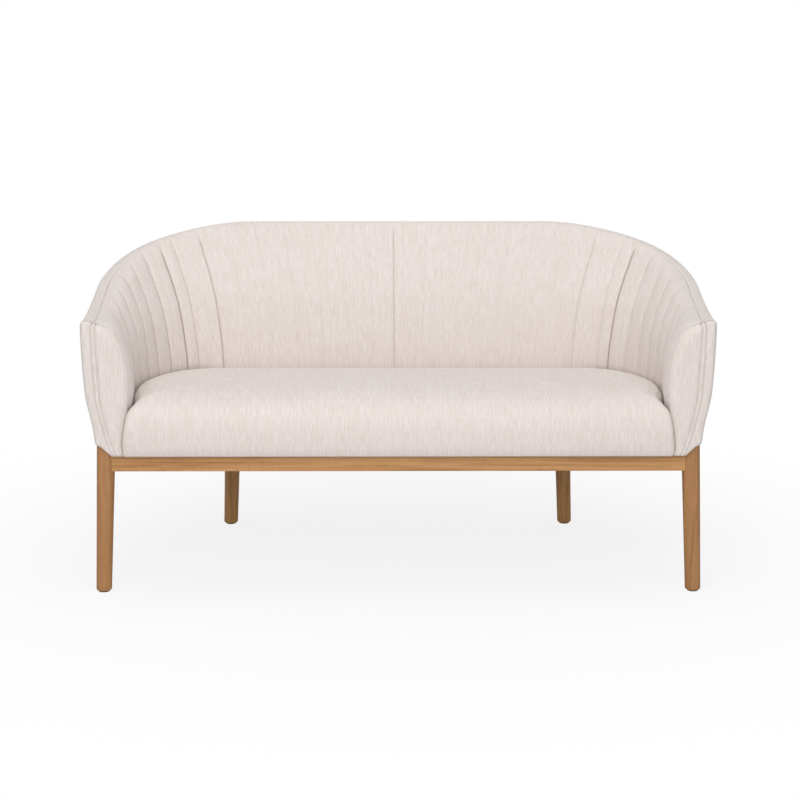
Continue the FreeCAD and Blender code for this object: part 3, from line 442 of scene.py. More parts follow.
@dataclass(frozen=True)
class LiningCloth(Finish):
    """Plain woven lining, dark or jute-coloured, in an open square weave."""

    base: tuple = srgb(58, 56, 55)
    thread_colour: tuple = srgb(92, 89, 86)
    pitch: float = 0.0016

    def look(self, shader: Shader, at: Split) -> dict[str, Value]:
        """Square weave with slubs, faded in patches."""
        turn = FULL_TURN / self.pitch
        weave = (at.x * turn).sine() * ((at.y + at.z) * turn).sine() * 0.5 + 0.5
        slub = shader.streaks(at.x * 500, at.y * 60, at.z * 60, 2.0)
        fade = shader.streaks(at.x * 5, at.y * 5, at.z * 5, 2.0)
        woven = shader.mix(weave * 0.6 + slub * 0.3, self.base, self.thread_colour)
        return dict(Base_Color=shader.layered(woven, (fade, 0.4, 0.8, 0.25, self.thread_colour)),
                    Roughness=0.88 + slub * 0.1, Normal=shader.bump(weave + slub, 0.0003, 0.8), Sheen_Weight=0.1)


@dataclass(frozen=True)
class FeltFinish(Finish):
    """Grey needled felt over the springs."""

    base: tuple = srgb(128, 124, 120)
    hair: tuple = srgb(176, 171, 165)

    def look(self, shader: Shader, at: Split) -> dict[str, Value]:
        """Tangled hairs."""
        hairs = shader.streaks(at.x * 300, at.y * 500, at.z * 400, 4.0, 0.7, 1.2)
        return dict(Base_Color=shader.layered(self.base, (hairs, 0.45, 0.7, 1.0, self.hair)),
                    Roughness=0.93 + hairs * 0.05, Normal=shader.bump(hairs, 0.0006, 0.8))


@dataclass(frozen=True)
class SewingThread(Finish):
    """Twisted upholstery thread, a shade darker than the cloth."""

    base: tuple = srgb(184, 169, 158)
    shadow: tuple = srgb(142, 126, 115)
    ply: float = 0.0006

    def look(self, shader: Shader, at: Split) -> dict[str, Value]:
        """Plies that wind round the thread."""
        twist = ((at.x + at.y + at.z) * (FULL_TURN / self.ply)).sine() * 0.5 + 0.5
        return dict(Base_Color=shader.mix(twist, self.shadow, self.base), Roughness=0.7 + twist * 0.1,
                    Normal=shader.bump(twist, 0.0001, 0.6))


# Form of the round body

def smooth(share: Array) -> Array:
    """Smooth step of a share that is cut off at 0 and 1."""
    share = np.clip(share, 0.0, 1.0)
    return share * share * (3 - 2 * share)


def bell(distance: Array, width: float) -> Array:
    """Bell curve: 1 at no distance, a third at one width."""
    return np.exp(-(distance / width) ** 2)


def lengths_of(line: Array) -> Array:
    """Length along a polyline at each of its points."""
    return np.concatenate([[0.0], np.cumsum(np.linalg.norm(np.diff(line, axis=0), axis=1))])


def sampled(line: Array, places: Array) -> Array:
    """Points of a polyline at lengths along it."""
    lengths = lengths_of(line)
    return np.stack([np.interp(places, lengths, line[:, axis]) for axis in range(line.shape[1])], axis=1)


def rounded(line: Array, reach: float, pitch: float = 0.001) -> Array:
    """Polyline with its corners softened over a reach and its ends kept.

    Args:
        line: Points in rows.
        reach: Standard deviation of the softening, in metres.
        pitch: Distance between the points that come back.

    Returns:
        The softened line.
    """
    total = lengths_of(line)[-1]
    count = max(int(total / pitch), 8)
    dense = sampled(line, np.linspace(0.0, total, count))
    half = int(3 * reach / pitch)
    kernel = np.exp(-0.5 * (np.arange(-half, half + 1) * pitch / reach) ** 2)
    kernel /= kernel.sum()
    before = 2 * dense[0] - dense[half:0:-1]
    after = 2 * dense[-1] - dense[-2:-half - 2:-1]
    padded = np.concatenate([before, dense, after])
    return np.stack([np.convolve(padded[:, axis], kernel, "valid") for axis in range(line.shape[1])], axis=1)


class PlanCurve:
    """Half of a plan curve from the middle of the back to the arm's front: a line, a quarter ellipse, a line."""

    STEPS = 240

    def __init__(self, half_width: float, back_y: float, flat: float, corner_depth: float, front_y: float,
                 toe_in: float = 0.0) -> None:
        """Builds the curve.

        Args:
            half_width: Half of the width across the arms.
            back_y: Place of the straight back.
            flat: Half of the straight back's length.
            corner_depth: Depth of the quarter ellipse.
            front_y: Place of the arm's front end.
            toe_in: How far the arm's end is drawn in.
        """
        turn = np.linspace(0.0, QUARTER_TURN, self.STEPS + 1)
        corner = np.stack([flat + (half_width - flat) * np.sin(turn), back_y - corner_depth * (1 - np.cos(turn))], 1)
        share = np.linspace(0.0, 1.0, self.STEPS + 1)[1:]
        side_y = back_y - corner_depth
        side = np.stack([half_width - toe_in * share ** 2, side_y + (front_y - side_y) * share], 1)
        self.points = np.concatenate([[[0.0, back_y]], corner, side])
        self.length = lengths_of(self.points)[-1]

    def at(self, share: Array) -> Array:
        """Points at shares of the curve's length."""
        return sampled(self.points, np.asarray(share) * self.length)


@dataclass(frozen=True)
class BodySizes:
    """Sizes of the upholstered body."""

    half_width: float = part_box("outer_back_cover")[1].x
    back_y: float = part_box("outer_back_cover")[1].y
    back_height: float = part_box("rim_band")[1].z
    arm_height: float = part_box("right_arm_facing")[1].z
    arm_end_y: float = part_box("rim_band")[0].y
    arm_front_y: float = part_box("right_arm_facing")[0].y
    hem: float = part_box("outer_back_cover")[0].z
    frame_bottom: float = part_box("back_inner_cover")[0].z
    rim_corner: float = 0.330
    toe_in: float = 0.010
    flare: float = 0.030
    arm_width: float = 0.088
    seat_setback: float = 0.170
    seat_corner_width: float = 0.182
    seat_corner_depth: float = 0.285
    crease: float = 0.408
    band_width: float = 0.028
    rim_edge: float = 0.012
    sweep_power: float = 1.12
    front_lift: float = 0.006
    front_lift_start: float = 0.78
    shoulder_lift: float = 0.006
    shoulder_at: float = 0.56
    shoulder_reach: float = 0.11
    seam_rise: float = 0.005
    edge_drop: float = 0.0005
    back_end: float = 0.70
    back_fade: float = 0.20
    belly_start: float = 0.80
    belly_fade: float = 0.105
    leg_draw: float = 0.0075
    leg_draw_top: float = 0.450
    leg_draw_y: float = -0.15
    leg_draw_fade: float = 0.05
    leg_draw_rise: float = 0.09


class Stations:
    """Upright planes across the body at lengths along the seat's guide, negative on the left."""

    def __init__(self, form: "BodyForm", along: Array) -> None:
        """Works out each plane's inner point, outward direction, width, rim height and flare."""
        sizes = self.sizes = form.sizes
        share = np.clip(np.abs(along) / form.inner.length, 0.0, 1.0)
        inner, outer = form.inner.at(share), form.outer.at(share)
        across = outer - inner
        self.along = along
        self.side = np.where(along < 0, -1.0, 1.0)
        self.width = np.linalg.norm(across, axis=1)
        self.origin = inner
        self.across = across / self.width[:, None]
        flat_share = (sizes.half_width - sizes.rim_corner) / form.outer.length
        drop = np.minimum(1.0, (1 - share) / (1 - flat_share))
        swell = (3 * drop ** 2 - 2 * drop ** 3) ** sizes.sweep_power
        self.rim = sizes.arm_height + (sizes.back_height - sizes.arm_height) * swell
        self.rim = self.rim + sizes.front_lift * smooth((share - sizes.front_lift_start) / (1 - sizes.front_lift_start))
        self.rim = self.rim + sizes.shoulder_lift * bell(np.abs(along) - sizes.shoulder_at, sizes.shoulder_reach)
        self.on_front = smooth((np.abs(along) - sizes.belly_start) / sizes.belly_fade)
        self.on_back = smooth((sizes.back_end - np.abs(along)) / sizes.back_fade)
        self.seam_height = self.rim + sizes.seam_rise * self.on_back
        self.edge_height = self.rim - sizes.edge_drop * self.on_back
        ahead = outer[:, 1] < sizes.back_y - sizes.rim_corner
        self.flare = sizes.flare - np.maximum(0.0, sizes.half_width - outer[:, 0]) * ahead
        self.over_leg = smooth((sizes.leg_draw_y - outer[:, 1]) / sizes.leg_draw_fade)

    def outer_face(self, height: Array) -> Array:
        """Distance outwards of the outer face at heights, which is drawn in towards the hem."""
        sizes = self.sizes
        top = self.edge_height[:, None] - sizes.rim_edge
        share = np.clip((top - height) / (top - sizes.hem), 0.0, 1.0)
        lowered = smooth((sizes.leg_draw_top - height) / sizes.leg_draw_rise)
        drawn = sizes.leg_draw * self.over_leg[:, None] * lowered
        return self.width[:, None] - self.flare[:, None] * share ** 2 - drawn

    def place(self, out: Array, height: Array) -> Array:
        """Points at distances from the inner guide and heights.

        Args:
            out: Distances outwards, one row for each station.
            height: Heights, in the same layout.

        Returns:
            Points, indexed by station and row.
        """
        x = (self.origin[:, 0:1] + self.across[:, 0:1] * out) * self.side[:, None]
        y = self.origin[:, 1:2] + self.across[:, 1:2] * out
        return np.stack([x, y, height], axis=2)


class BodyForm:
    """The body's plan curves, its seams and its sections."""

    FLAT_CHANNEL = 0.0588
    FLAT_CHANNELS = 8
    JOIN_CHANNEL = 0.030
    ARM_CHANNEL = 0.049
    HEIGHTS = np.array([0.0, 0.18, 0.35, 0.52, 0.69, 0.84, 0.93, 0.98])
    BACK_FACE = np.array([0.0, 0.045, 0.125, 0.225, 0.40, 0.595, 0.71, 0.775])
    ARM_FACE = np.array([-0.005, -0.005, 0.005, 0.04, 0.15, 0.295, 0.405, 0.52])
    FRONT_FACE = np.array([-0.17, -0.24, -0.235, -0.185, -0.085, 0.075, 0.21, 0.34])
    LOW_SHARE = 0.3
    SOFTENING = 0.009

    def __init__(self, sizes: BodySizes) -> None:
        """Builds both plan curves and the seams' places."""
        self.sizes = sizes
        seat_half = sizes.half_width - sizes.arm_width
        self.seat_half = seat_half
        self.seat_back = sizes.back_y - sizes.seat_setback
        self.seat_flat = seat_half - sizes.seat_corner_width
        self.inner = PlanCurve(seat_half, self.seat_back, self.seat_flat, sizes.seat_corner_depth, sizes.arm_end_y)
        self.outer = PlanCurve(sizes.half_width, sizes.back_y, sizes.half_width - sizes.rim_corner,
                               sizes.rim_corner, sizes.arm_end_y, sizes.toe_in)
        seams = [self.FLAT_CHANNEL * count for count in range(self.FLAT_CHANNELS + 1)]
        seams.append(seams[-1] + self.JOIN_CHANNEL)
        while seams[-1] + 1.5 * self.ARM_CHANNEL < self.inner.length:
            seams.append(seams[-1] + self.ARM_CHANNEL)
        self.seams = np.array(seams)

    def end(self) -> Stations:
        """Plane of the arms' front ends."""
        return Stations(self, np.array([self.inner.length]))

    def inner_line(self, width: float, top: float, on_back: float, on_front: float) -> Array:
        """Section of the inner face: a lean on the back, a late roll on the arms, a belly at the arms' fronts.

        Args:
            width: The body's width at the station.
            top: Height of the band's seam there.
            on_back: 1 on the back, 0 on the arms.
            on_front: 1 at the arms' fronts, 0 behind them.

        Returns:
            Distances outwards and heights, in rows from the frame's bottom to the band's seam.
        """
        sizes = self.sizes
        shares = self.BACK_FACE * on_back + self.ARM_FACE * (1 - on_back)
        shares = shares * (1 - on_front) + self.FRONT_FACE * on_front
        face = np.stack([shares * width, sizes.crease + (top - sizes.crease) * self.HEIGHTS], axis=1)
        low = np.array([[face[0, 0] * self.LOW_SHARE, sizes.frame_bottom]])
        end = np.array([[width - sizes.band_width, top]])
        return rounded(np.concatenate([low, face, end]), self.SOFTENING)


# Meshes

def grid_normals(points: Array) -> Array:
    """Unit normals of a grid of points, for rows that climb to the left of the columns' direction."""
    first = np.gradient(points, axis=0)
    second = np.gradient(points, axis=1)
    normals = np.cross(first, second)
    return normals / np.maximum(np.linalg.norm(normals, axis=2, keepdims=True), TINY)


def grid_faces(columns: int, rows: int, closed: bool = False, flip: bool = False) -> list[tuple[int, ...]]:
    """Quads of a grid whose points are stored column by column."""
    faces = []
    for column in range(columns if closed else columns - 1):
        ahead = (column + 1) % columns
        for row in range(rows - 1):
            quad = (column * rows + row, ahead * rows + row, ahead * rows + row + 1, column * rows + row + 1)
            faces.append(quad[::-1] if flip else quad)
    return faces


def mesh_object(name: str, points: Array, faces: list[tuple[int, ...]]) -> bpy.types.Object:
    """New object at the origin with a smooth mesh."""
    mesh = bpy.data.meshes.new(name)
    mesh.from_pydata([tuple(point) for point in points.reshape(-1, 3)], [], faces)
    mesh.validate()
    mesh.polygons.foreach_set("use_smooth", [True] * len(mesh.polygons))
    piece = bpy.data.objects.new(name, mesh)
    bpy.context.scene.collection.objects.link(piece)
    return piece


def only(piece: bpy.types.Object) -> None:
    """Makes one object the selected and the active one."""
    bpy.ops.object.select_all(action="DESELECT")
    piece.select_set(True)
    bpy.context.view_layer.objects.active = piece


def apply_modifiers(piece: bpy.types.Object) -> None:
    """Applies every modifier of a piece, in order."""
    only(piece)
    for name in [modifier.name for modifier in piece.modifiers]:
        bpy.ops.object.modifier_apply(modifier=name)


def thicken(piece: bpy.types.Object, thickness: float) -> None:
    """Gives a sheet a thickness behind its shown face and closes its edges."""
    solid = piece.modifiers.new("thickness", "SOLIDIFY")
    solid.thickness = thickness
    solid.offset = -1.0
    solid.use_rim = True
    apply_modifiers(piece)


def add_cloth_map(piece: bpy.types.Object, places: Array) -> None:
    """Gives a piece its UV map in metres, from one place for each vertex."""
    layer = piece.data.uv_layers.new(name="cloth")
    index = np.empty(len(piece.data.loops), dtype=np.int64)
    piece.data.loops.foreach_get("vertex_index", index)
    layer.data.foreach_set("uv", places.reshape(-1, 2)[index].astype(np.float32).ravel())


def add_painted_shade(piece: bpy.types.Object, values: Array) -> None:
    """Gives a piece its seam attribute, the painted shade in seams and creases, from 0 on plain cloth to 1 in the
    deepest seam.
    """
    layer = piece.data.attributes.new("seam", "FLOAT", "POINT")
    layer.data.foreach_set("value", np.ascontiguousarray(values, dtype=np.float32).ravel())


def dress(piece: bpy.types.Object, material: bpy.types.Material,
          replaced: Sequence[str] = ()) -> bpy.types.Object:
    """Gives a new piece its finish and its place in the frame.

    Args:
        piece: The piece.
        material: Its only material.
        replaced: CAD nodes that the piece stands for.

    Returns:
        The piece.
    """
    piece.data.materials.clear()
    piece.data.materials.append(material)
    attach(piece, BODY)
    if replaced:
        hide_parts(*replaced)
    LOG.info("%s: %d faces", piece.name, len(piece.data.polygons))
    return piece


@dataclass(frozen=True)
class ClothSettling:
    """Blender's cloth on a coarse copy of a cover, which finds how the padding fills it."""

    pressure: float = 3.0
    frames: int = 20
    cap: float = 0.0035
    stiffness: float = 12.0
    bending: float = 0.6
    mass: float = 0.25

    def moves(self, points: Array, pins: Array) -> Array:
        """Simulates an open grid of points.

        Args:
            points: The coarse cover, indexed by column and row.
            pins: 1 at each point that is held, 0 elsewhere.

        Returns:
            How far each point moves, cut off at the cap.
        """
        piece = mesh_object("settling", points, grid_faces(*points.shape[:2]))
        group = piece.vertex_groups.new(name="pins")
        group.add(np.flatnonzero(pins).tolist(), 1.0, "REPLACE")
        cloth = piece.modifiers.new("cloth", "CLOTH")
        settings = cloth.settings
        settings.use_pressure = True
        settings.uniform_pressure_force = self.pressure
        settings.effector_weights.gravity = 0.0
        settings.vertex_group_mass = group.name
        settings.tension_stiffness = settings.compression_stiffness = self.stiffness
        settings.bending_stiffness = self.bending
        settings.mass = self.mass
        cloth.point_cache.frame_start = 1
        cloth.point_cache.frame_end = self.frames
        for frame_number in range(1, self.frames + 1):
            bpy.context.scene.frame_set(frame_number)
        apply_modifiers(piece)
        moved = np.empty(points.size, dtype=np.float32)
        piece.data.vertices.foreach_get("co", moved)
        bpy.data.objects.remove(piece)
        bpy.context.scene.frame_set(1)
        moves = moved.reshape(points.shape).astype(float) - points
        reach = np.linalg.norm(moves, axis=2, keepdims=True)
        LOG.info("cloth moved %.1f mm at most", 1000 * reach.max())
        return moves * np.minimum(1.0, self.cap / np.maximum(reach, TINY))


def between(values: Array, columns: Array, rows: Array, new_columns: Array, new_rows: Array) -> Array:
    """Values of a coarse grid at the places of a fine one.

    Args:
        values: Values indexed by column and row, with any further parts.
        columns: Places of the coarse columns, rising.
        rows: Places of the coarse rows, rising.
        new_columns: Places of the fine columns.
        new_rows: Places of the fine rows.

    Returns:
        The values on the fine grid.
    """
    column = np.clip(np.interp(new_columns, columns, np.arange(len(columns))), 0, len(columns) - 1.001)
    row = np.clip(np.interp(new_rows, rows, np.arange(len(rows))), 0, len(rows) - 1.001)
    left, low = column.astype(int), row.astype(int)
    right_share, high_share = (column - left)[:, None, None], (row - low)[None, :, None]
    near = values[left][:, low] * (1 - high_share) + values[left][:, low + 1] * high_share
    far = values[left + 1][:, low] * (1 - high_share) + values[left + 1][:, low + 1] * high_share
    return near * (1 - right_share) + far * right_share


# Upholstery

class Side(Enum):
    """Side of the settee, as the sitter's picture is seen from the front."""

    LEFT = -1
    RIGHT = 1


@dataclass(frozen=True)
class EdgeRoll:
    """Quarter ellipse that takes the inside of an arm round into its front."""

    across: float = 0.021
    deep: float = 0.042
    start: float = 0.0116

    @property
    def inset(self) -> float:
        """Distance across that the ellipse has turned where the facing begins."""
        return self.across * (1 - math.sqrt(1 - (1 - self.start / self.deep) ** 2))

    def draw(self, gap: Array) -> Array:
        """Distance across that the ellipse has turned at distances behind the facing's joint."""
        share = np.clip((gap + self.start) / self.deep, 0.0, 1.0)
        return self.across * (1 - np.sqrt(1 - (1 - share) ** 2))

    def forward(self, gap: Array) -> Array:
        """Share of the facing's thickness at distances inside its edge."""
        turned = np.clip(1 - (self.inset + gap) / self.across, 0.0, 1.0)
        back = self.deep * (1 - np.sqrt(1 - turned ** 2))
        return 1 - back / self.start


EDGE_ROLL = EdgeRoll()


@dataclass
class InsideBack:
    """Channelled inside of the back and the arms, over its foam."""

    form: BodyForm
    flat_rise: float = 0.0006
    corner_rise: float = 0.0028
    arm_rise: float = 0.0042
    fullness: float = 0.65
    tuck: float = 0.060
    fade_start: float = 0.008
    fade_end: float = 0.050
    seam_width: float = 0.0015
    deepest: float = 0.0034
    centre_shift: float = -0.0085
    centre_depth: float = 0.0016
    flat_share: float = 0.07
    turn_share: float = 0.35
    arm_share: float = 0.62
    right_share: float = 0.45
    last_seam: int = 15
    roll_fade: float = 0.018
    join_dip: float = 0.0028
    join_dip_width: float = 0.002
    # Painted shade along the band's seam and in the crease at the corners.
    painted_join_shade: float = 0.55
    painted_join_shade_width: float = 0.0018
    painted_crease_shade: float = 0.5
    crease_start: float = 0.40
    crease_fade: float = 0.10
    crease_height: float = 0.020
    fine_rows: int = 76
    join_rows: float = 0.017
    coarse_rows: int = 30
    pin_reach: float = 0.0005
    thickness: float = 0.003

    FINE_STEPS = (0.0, 0.0008, 0.0018, 0.0034, 0.0062, 0.0105, 0.0165, 0.0225)
    COARSE_STEPS = (0.0, 0.011, 0.02)
    CENTRE_STEPS = (-0.0036, -0.0018, -0.0009, 0.0, 0.0009, 0.0018, 0.0036)
    JOIN_STEPS = np.array([0.012, 0.008, 0.0052, 0.0034, 0.0022, 0.0013, 0.0006, 0.0])
    NEAR_HALF = 0.95

    def rise_at(self, along: Array) -> Array:
        """How far the channels stand proud of their seams, along the guide."""
        seams = self.form.seams[:self.last_seam + 1]
        place = np.abs(along)
        index = np.clip(np.searchsorted(seams, place, side="right") - 1, 0, len(seams) - 1)
        ends = np.append(seams[1:], self.form.inner.length)
        share = (place - seams[index]) / (ends[index] - seams[index])
        last = index == len(seams) - 1
        share = np.where(last, np.minimum((place - seams[index]) / self.form.ARM_CHANNEL, 0.5), share)
        flat = self.form.FLAT_CHANNELS
        turning = (index == flat - 1) | (index == flat)
        height = np.where(index < flat - 1, self.flat_rise, np.where(turning, self.corner_rise, self.arm_rise))
        return height * np.sin(math.pi * share) ** self.fullness

    def groove_at(self, along: Array) -> Array:
        """Depth of the seams' grooves along the guide: faint on the flat back, deep from the turn on."""
        flat, corner = self.form.FLAT_CHANNELS, self.form.FLAT_CHANNELS + 1
        shares = {flat: self.turn_share, corner: 1.0}
        depth = self.centre_depth * bell(along - self.centre_shift, self.seam_width)
        for index, seam in enumerate(self.form.seams[1:self.last_seam + 1], start=1):
            share = shares.get(index, self.flat_share if index < flat - 1 else self.arm_share)
            for side in Side:
                # Shallower grooves on the right arm, which also weakens the painted shade there: that arm faces the
                # light.
                kept = self.right_share if side is Side.RIGHT and index != corner else 1.0
                depth = depth + self.deepest * share * kept * bell(along - seam * side.value, self.seam_width)
        return depth

    def columns(self, steps: Sequence[float]) -> Array:
        """Places of the columns: each channel is divided at the same distances from its seams."""
        ends = [*self.form.seams, self.form.inner.length]
        places = [ends[-1]]
        for first, second in zip(ends, ends[1:]):
            half = (second - first) / 2
            near = [step for step in steps if step < half * self.NEAR_HALF]
            places += [first + step for step in near] + [first + half] + [second - step for step in near if step > 0]
        right = {round(place, 6) for place in places}
        extra = {self.centre_shift + step for step in self.CENTRE_STEPS}
        return np.array(sorted({-place for place in right} | right | extra))

    def lines(self, stations: Stations, places: Callable[[float], Array]) -> tuple[Array, Array]:
        """Bare surface and its lengths below the band's seam.

        Args:
            stations: The planes across the body.
            places: Rows for a section of a given length, measured up from its low end.

        Returns:
            Points and lengths, indexed by station and row.
        """
        out, height, below = [], [], []
        shape = zip(stations.width, stations.seam_height, stations.on_back, stations.on_front)
        for width, top, on_back, on_front in shape:
            line = self.form.inner_line(width, top, on_back, on_front)
            level = self.form.sizes.crease - self.tuck
            start = np.array([[np.interp(level, line[:, 1], line[:, 0]), level]])
            line = np.concatenate([start, line[line[:, 1] > start[0, 1]]])
            total = lengths_of(line)[-1]
            rows = places(total)
            section = sampled(line, rows)
            out.append(section[:, 0])
            height.append(section[:, 1])
            below.append(total - rows)
        return stations.place(np.array(out), np.array(height)), np.array(below)

    def push_at(self, along: Array, below: Array) -> Array:
        """How far the cover stands off the bare section.

        Args:
            along: Places along the guide, one for each row of the result.
            below: Lengths below the band's seam, indexed by place and row.

        Returns:
            Distances along the surface's normal.
        """
        fade = smooth((below - self.fade_start) / (self.fade_end - self.fade_start))
        push = fade * (self.rise_at(along)[:, None] - self.groove_at(along)[:, None])
        gap = self.form.inner.length - np.abs(along)
        push = push - EDGE_ROLL.draw(gap)[:, None] * smooth(below / self.roll_fade)
        return push - self.join_dip * bell(below, self.join_dip_width)

    def painted_shade_at(self, along: Array, below: Array) -> Array:
        """Painted shade: how dark the cloth is painted in the seams' grooves, along the band's seam and in the crease
        at the corners, in the layout of the lengths.
        """
        fade = smooth((below - self.fade_start) / (self.fade_end - self.fade_start))
        depth = np.minimum(1.0, self.groove_at(along) / self.deepest)[:, None] * fade
        rise = below.max(axis=1, keepdims=True) - below
        corner = smooth((np.abs(along) - self.crease_start) / self.crease_fade)[:, None]
        crease = self.painted_crease_shade * corner * smooth((self.tuck + self.crease_height - rise) / self.crease_height)
        return np.maximum(np.maximum(depth, crease), self.painted_join_shade * bell(below, self.painted_join_shade_width))

    def end_line(self) -> Array:
        """Section of the covered pad at the arm's front, from low to high."""
        station = self.form.end()
        line = self.form.inner_line(station.width[0], station.seam_height[0], 0.0, station.on_front[0])
        below = lengths_of(line)[-1] - lengths_of(line)
        step = np.gradient(line, axis=0)
        normal = np.stack([-step[:, 1], step[:, 0]], axis=1) / np.linalg.norm(step, axis=1, keepdims=True)
        return line + normal * self.push_at(station.along, below[None, :]).T

    def settled(self, fine: Stations, rows: int) -> Array:
        """Movement that the cloth finds on a coarse copy, held at its edges and along its seams.

        Args:
            fine: Planes of the fine surface.
            rows: Number of the fine surface's rows.

        Returns:
            The movement of each point of the fine surface.
        """
        coarse = Stations(self.form, self.columns(self.COARSE_STEPS))
        rest, below = self.lines(coarse, lambda total: np.linspace(0.0, total, self.coarse_rows))
        signed = np.concatenate([-self.form.seams, self.form.seams])
        sewn = np.abs(coarse.along[:, None] - signed[None, :]).min(axis=1) < self.pin_reach
        held = sewn[:, None] & (below > self.fade_start * 3)
        held[:, [0, -1]] = held[[0, -1], :] = True
        moves = ClothSettling().moves(rest, held)
        return between(moves, coarse.along, np.linspace(0.0, 1.0, self.coarse_rows),
                       fine.along, np.linspace(0.0, 1.0, rows))

    def build(self, material: bpy.types.Material) -> bpy.types.Object:
        """Makes the cover and dresses it."""
        def rows(total: float) -> Array:
            """Rows that crowd towards the band's seam."""
            even = np.linspace(0.0, total - self.join_rows, self.fine_rows)
            return np.concatenate([even, total - self.JOIN_STEPS])

        fine = Stations(self.form, self.columns(self.FINE_STEPS))
        points, below = self.lines(fine, rows)
        push = self.push_at(fine.along, below)[:, :, None]
        points = points + grid_normals(points) * push + self.settled(fine, points.shape[1])
        piece = mesh_object("inside_back_and_arms", points, grid_faces(*points.shape[:2]))
        height = below.max(axis=1, keepdims=True) - below
        add_cloth_map(piece, np.stack([np.broadcast_to(fine.along[:, None], below.shape), height], axis=2))
        add_painted_shade(piece, self.painted_shade_at(fine.along, below))
        thicken(piece, self.thickness)
        return dress(piece, material, ["back_inner_cover", *pair("arm_inner_cover"), "back_foam",
                                                          *pair("arm_foam")])


@dataclass
class OutsideCover:
    """Plain tight cover round the outside of the back and the arms."""

    form: BodyForm
    puff: float = 0.0025
    puff_power: float = 0.7
    groove: float = 0.0016
    groove_width: float = 0.0022
    hem_turn: float = 0.0028
    fold: float = 0.014
    fold_start: float = 0.003
    fold_lift: float = 0.0004
    notch_y: float = -0.254
    notch_height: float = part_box("right_front_leg")[1].z + 0.0015
    notch_length: float = 0.004
    notch_reach: float = 0.006
    notch_columns: int = 13
    side_columns: int = 150
    thickness: float = 0.0018

    ROWS = np.concatenate([[0.0, 0.004, 0.008], np.linspace(0.012, 0.97, 60), [0.98, 0.988, 0.994, 0.998, 1.0]])

    def hem_height(self, y: Array) -> Array:
        """Height of the hem, which steps up over the front legs."""
        low = self.form.sizes.hem
        return low + (self.notch_height - low) * smooth((self.notch_y - y) / self.notch_length + 0.5)

    def columns(self) -> Array:
        """Places of the columns along the guide, closer together at the hem's steps."""
        half = self.form.inner.length
        step = half - (self.notch_y - self.form.sizes.arm_end_y)
        near = step + np.linspace(-self.notch_reach, self.notch_reach, self.notch_columns)
        even = np.linspace(0.0, half, self.side_columns)
        right = np.array(sorted(set(np.round(np.concatenate([even, near]), 6))))
        return np.concatenate([-right[:0:-1], right])

    def build(self, material: bpy.types.Material) -> bpy.types.Object:
        """Makes the cover and dresses it."""
        along = self.columns()
        stations = Stations(self.form, along)
        hem = self.hem_height(stations.origin[:, 1] + stations.across[:, 1] * stations.width)[:, None]
        top = (stations.edge_height - self.form.sizes.rim_edge)[:, None]
        height = hem + (top - hem) * self.ROWS
        puff = self.puff * np.sin(math.pi * self.ROWS) ** self.puff_power
        dips = self.groove * bell(top - height, self.groove_width) + self.hem_turn * bell(height - hem, self.hem_turn)
        out = stations.outer_face(height) + puff - dips
        folds = np.array([[self.fold, self.fold / 2, self.fold_start]])
        under = stations.place(out[:, :1] - folds, np.repeat(hem + self.fold_lift, folds.size, axis=1))
        points = np.concatenate([under, stations.place(out, height)], axis=1)
        piece = mesh_object("outside_cover", points, grid_faces(*points.shape[:2], flip=True))
        lift = np.concatenate([height[:, :1] - folds, height], axis=1)
        outer_along = np.broadcast_to(along[:, None] * (self.form.outer.length / self.form.inner.length), lift.shape)
        add_cloth_map(piece, np.stack([outer_along, lift], axis=2))
        thicken(piece, self.thickness)
        return dress(piece, material, ["outer_back_cover", "outer_padding"])


@dataclass
class RimBand:
    """Strip of cloth round the top of the rim, between two seams."""

    form: BodyForm
    radius: float = 0.0085
    crown: float = 0.0012
    outer_dip: float = 0.0016
    inner_dip: float = 0.0024
    dip_width: float = 0.002
    middle_start: float = 0.005
    middle_rows: int = 18
    columns: int = 391
    thickness: float = 0.002

    NEAR = np.array([0.0, 0.0006, 0.0013, 0.0022, 0.0034])
    EDGE_POINTS = 12

    def section(self) -> tuple[Array, Array]:
        """Line from the outside seam over the edge to the inside seam.

        Returns:
            Distances in and up from the corner, and the lengths along the line.
        """
        sizes = self.form.sizes
        turn = np.linspace(0.0, QUARTER_TURN, self.EDGE_POINTS)
        edge = np.stack([self.radius * (1 - np.cos(turn)), -self.radius * (1 - np.sin(turn))], axis=1)
        line = np.concatenate([[[0.0, -sizes.rim_edge]], edge, [[sizes.band_width, 0.0]]])
        total = lengths_of(line)[-1]
        middle = np.linspace(self.middle_start, total - self.middle_start, self.middle_rows)
        places = np.concatenate([self.NEAR, middle, total - self.NEAR[::-1]])
        section = sampled(line, places)
        tangent = np.gradient(section, axis=0)
        normal = np.stack([-tangent[:, 1], tangent[:, 0]], axis=1)
        normal /= np.linalg.norm(normal, axis=1, keepdims=True)
        dips = bell(places, self.dip_width) * self.outer_dip + bell(total - places, self.dip_width) * self.inner_dip
        swell = self.crown * np.sin(math.pi * places / total) - dips
        return section + normal * swell[:, None], places

    def build(self, material: bpy.types.Material) -> bpy.types.Object:
        """Makes the band and dresses it."""
        half = self.form.inner.length
        along = np.linspace(-half, half, self.columns)
        stations = Stations(self.form, along)
        section, lengths = self.section()
        inward = np.clip(section[:, 0] / self.form.sizes.band_width, 0.0, 1.0)
        level = stations.edge_height[:, None] * (1 - inward) + stations.seam_height[:, None] * inward
        points = stations.place(stations.width[:, None] - section[:, 0], level + section[:, 1])
        piece = mesh_object("rim_band_cloth", points, grid_faces(*points.shape[:2], flip=True))
        add_cloth_map(piece, np.stack(np.broadcast_arrays(along[:, None], lengths[None, :]), axis=2))
        thicken(piece, self.thickness)
        return dress(piece, material, ["rim_band", "rim_padding"])


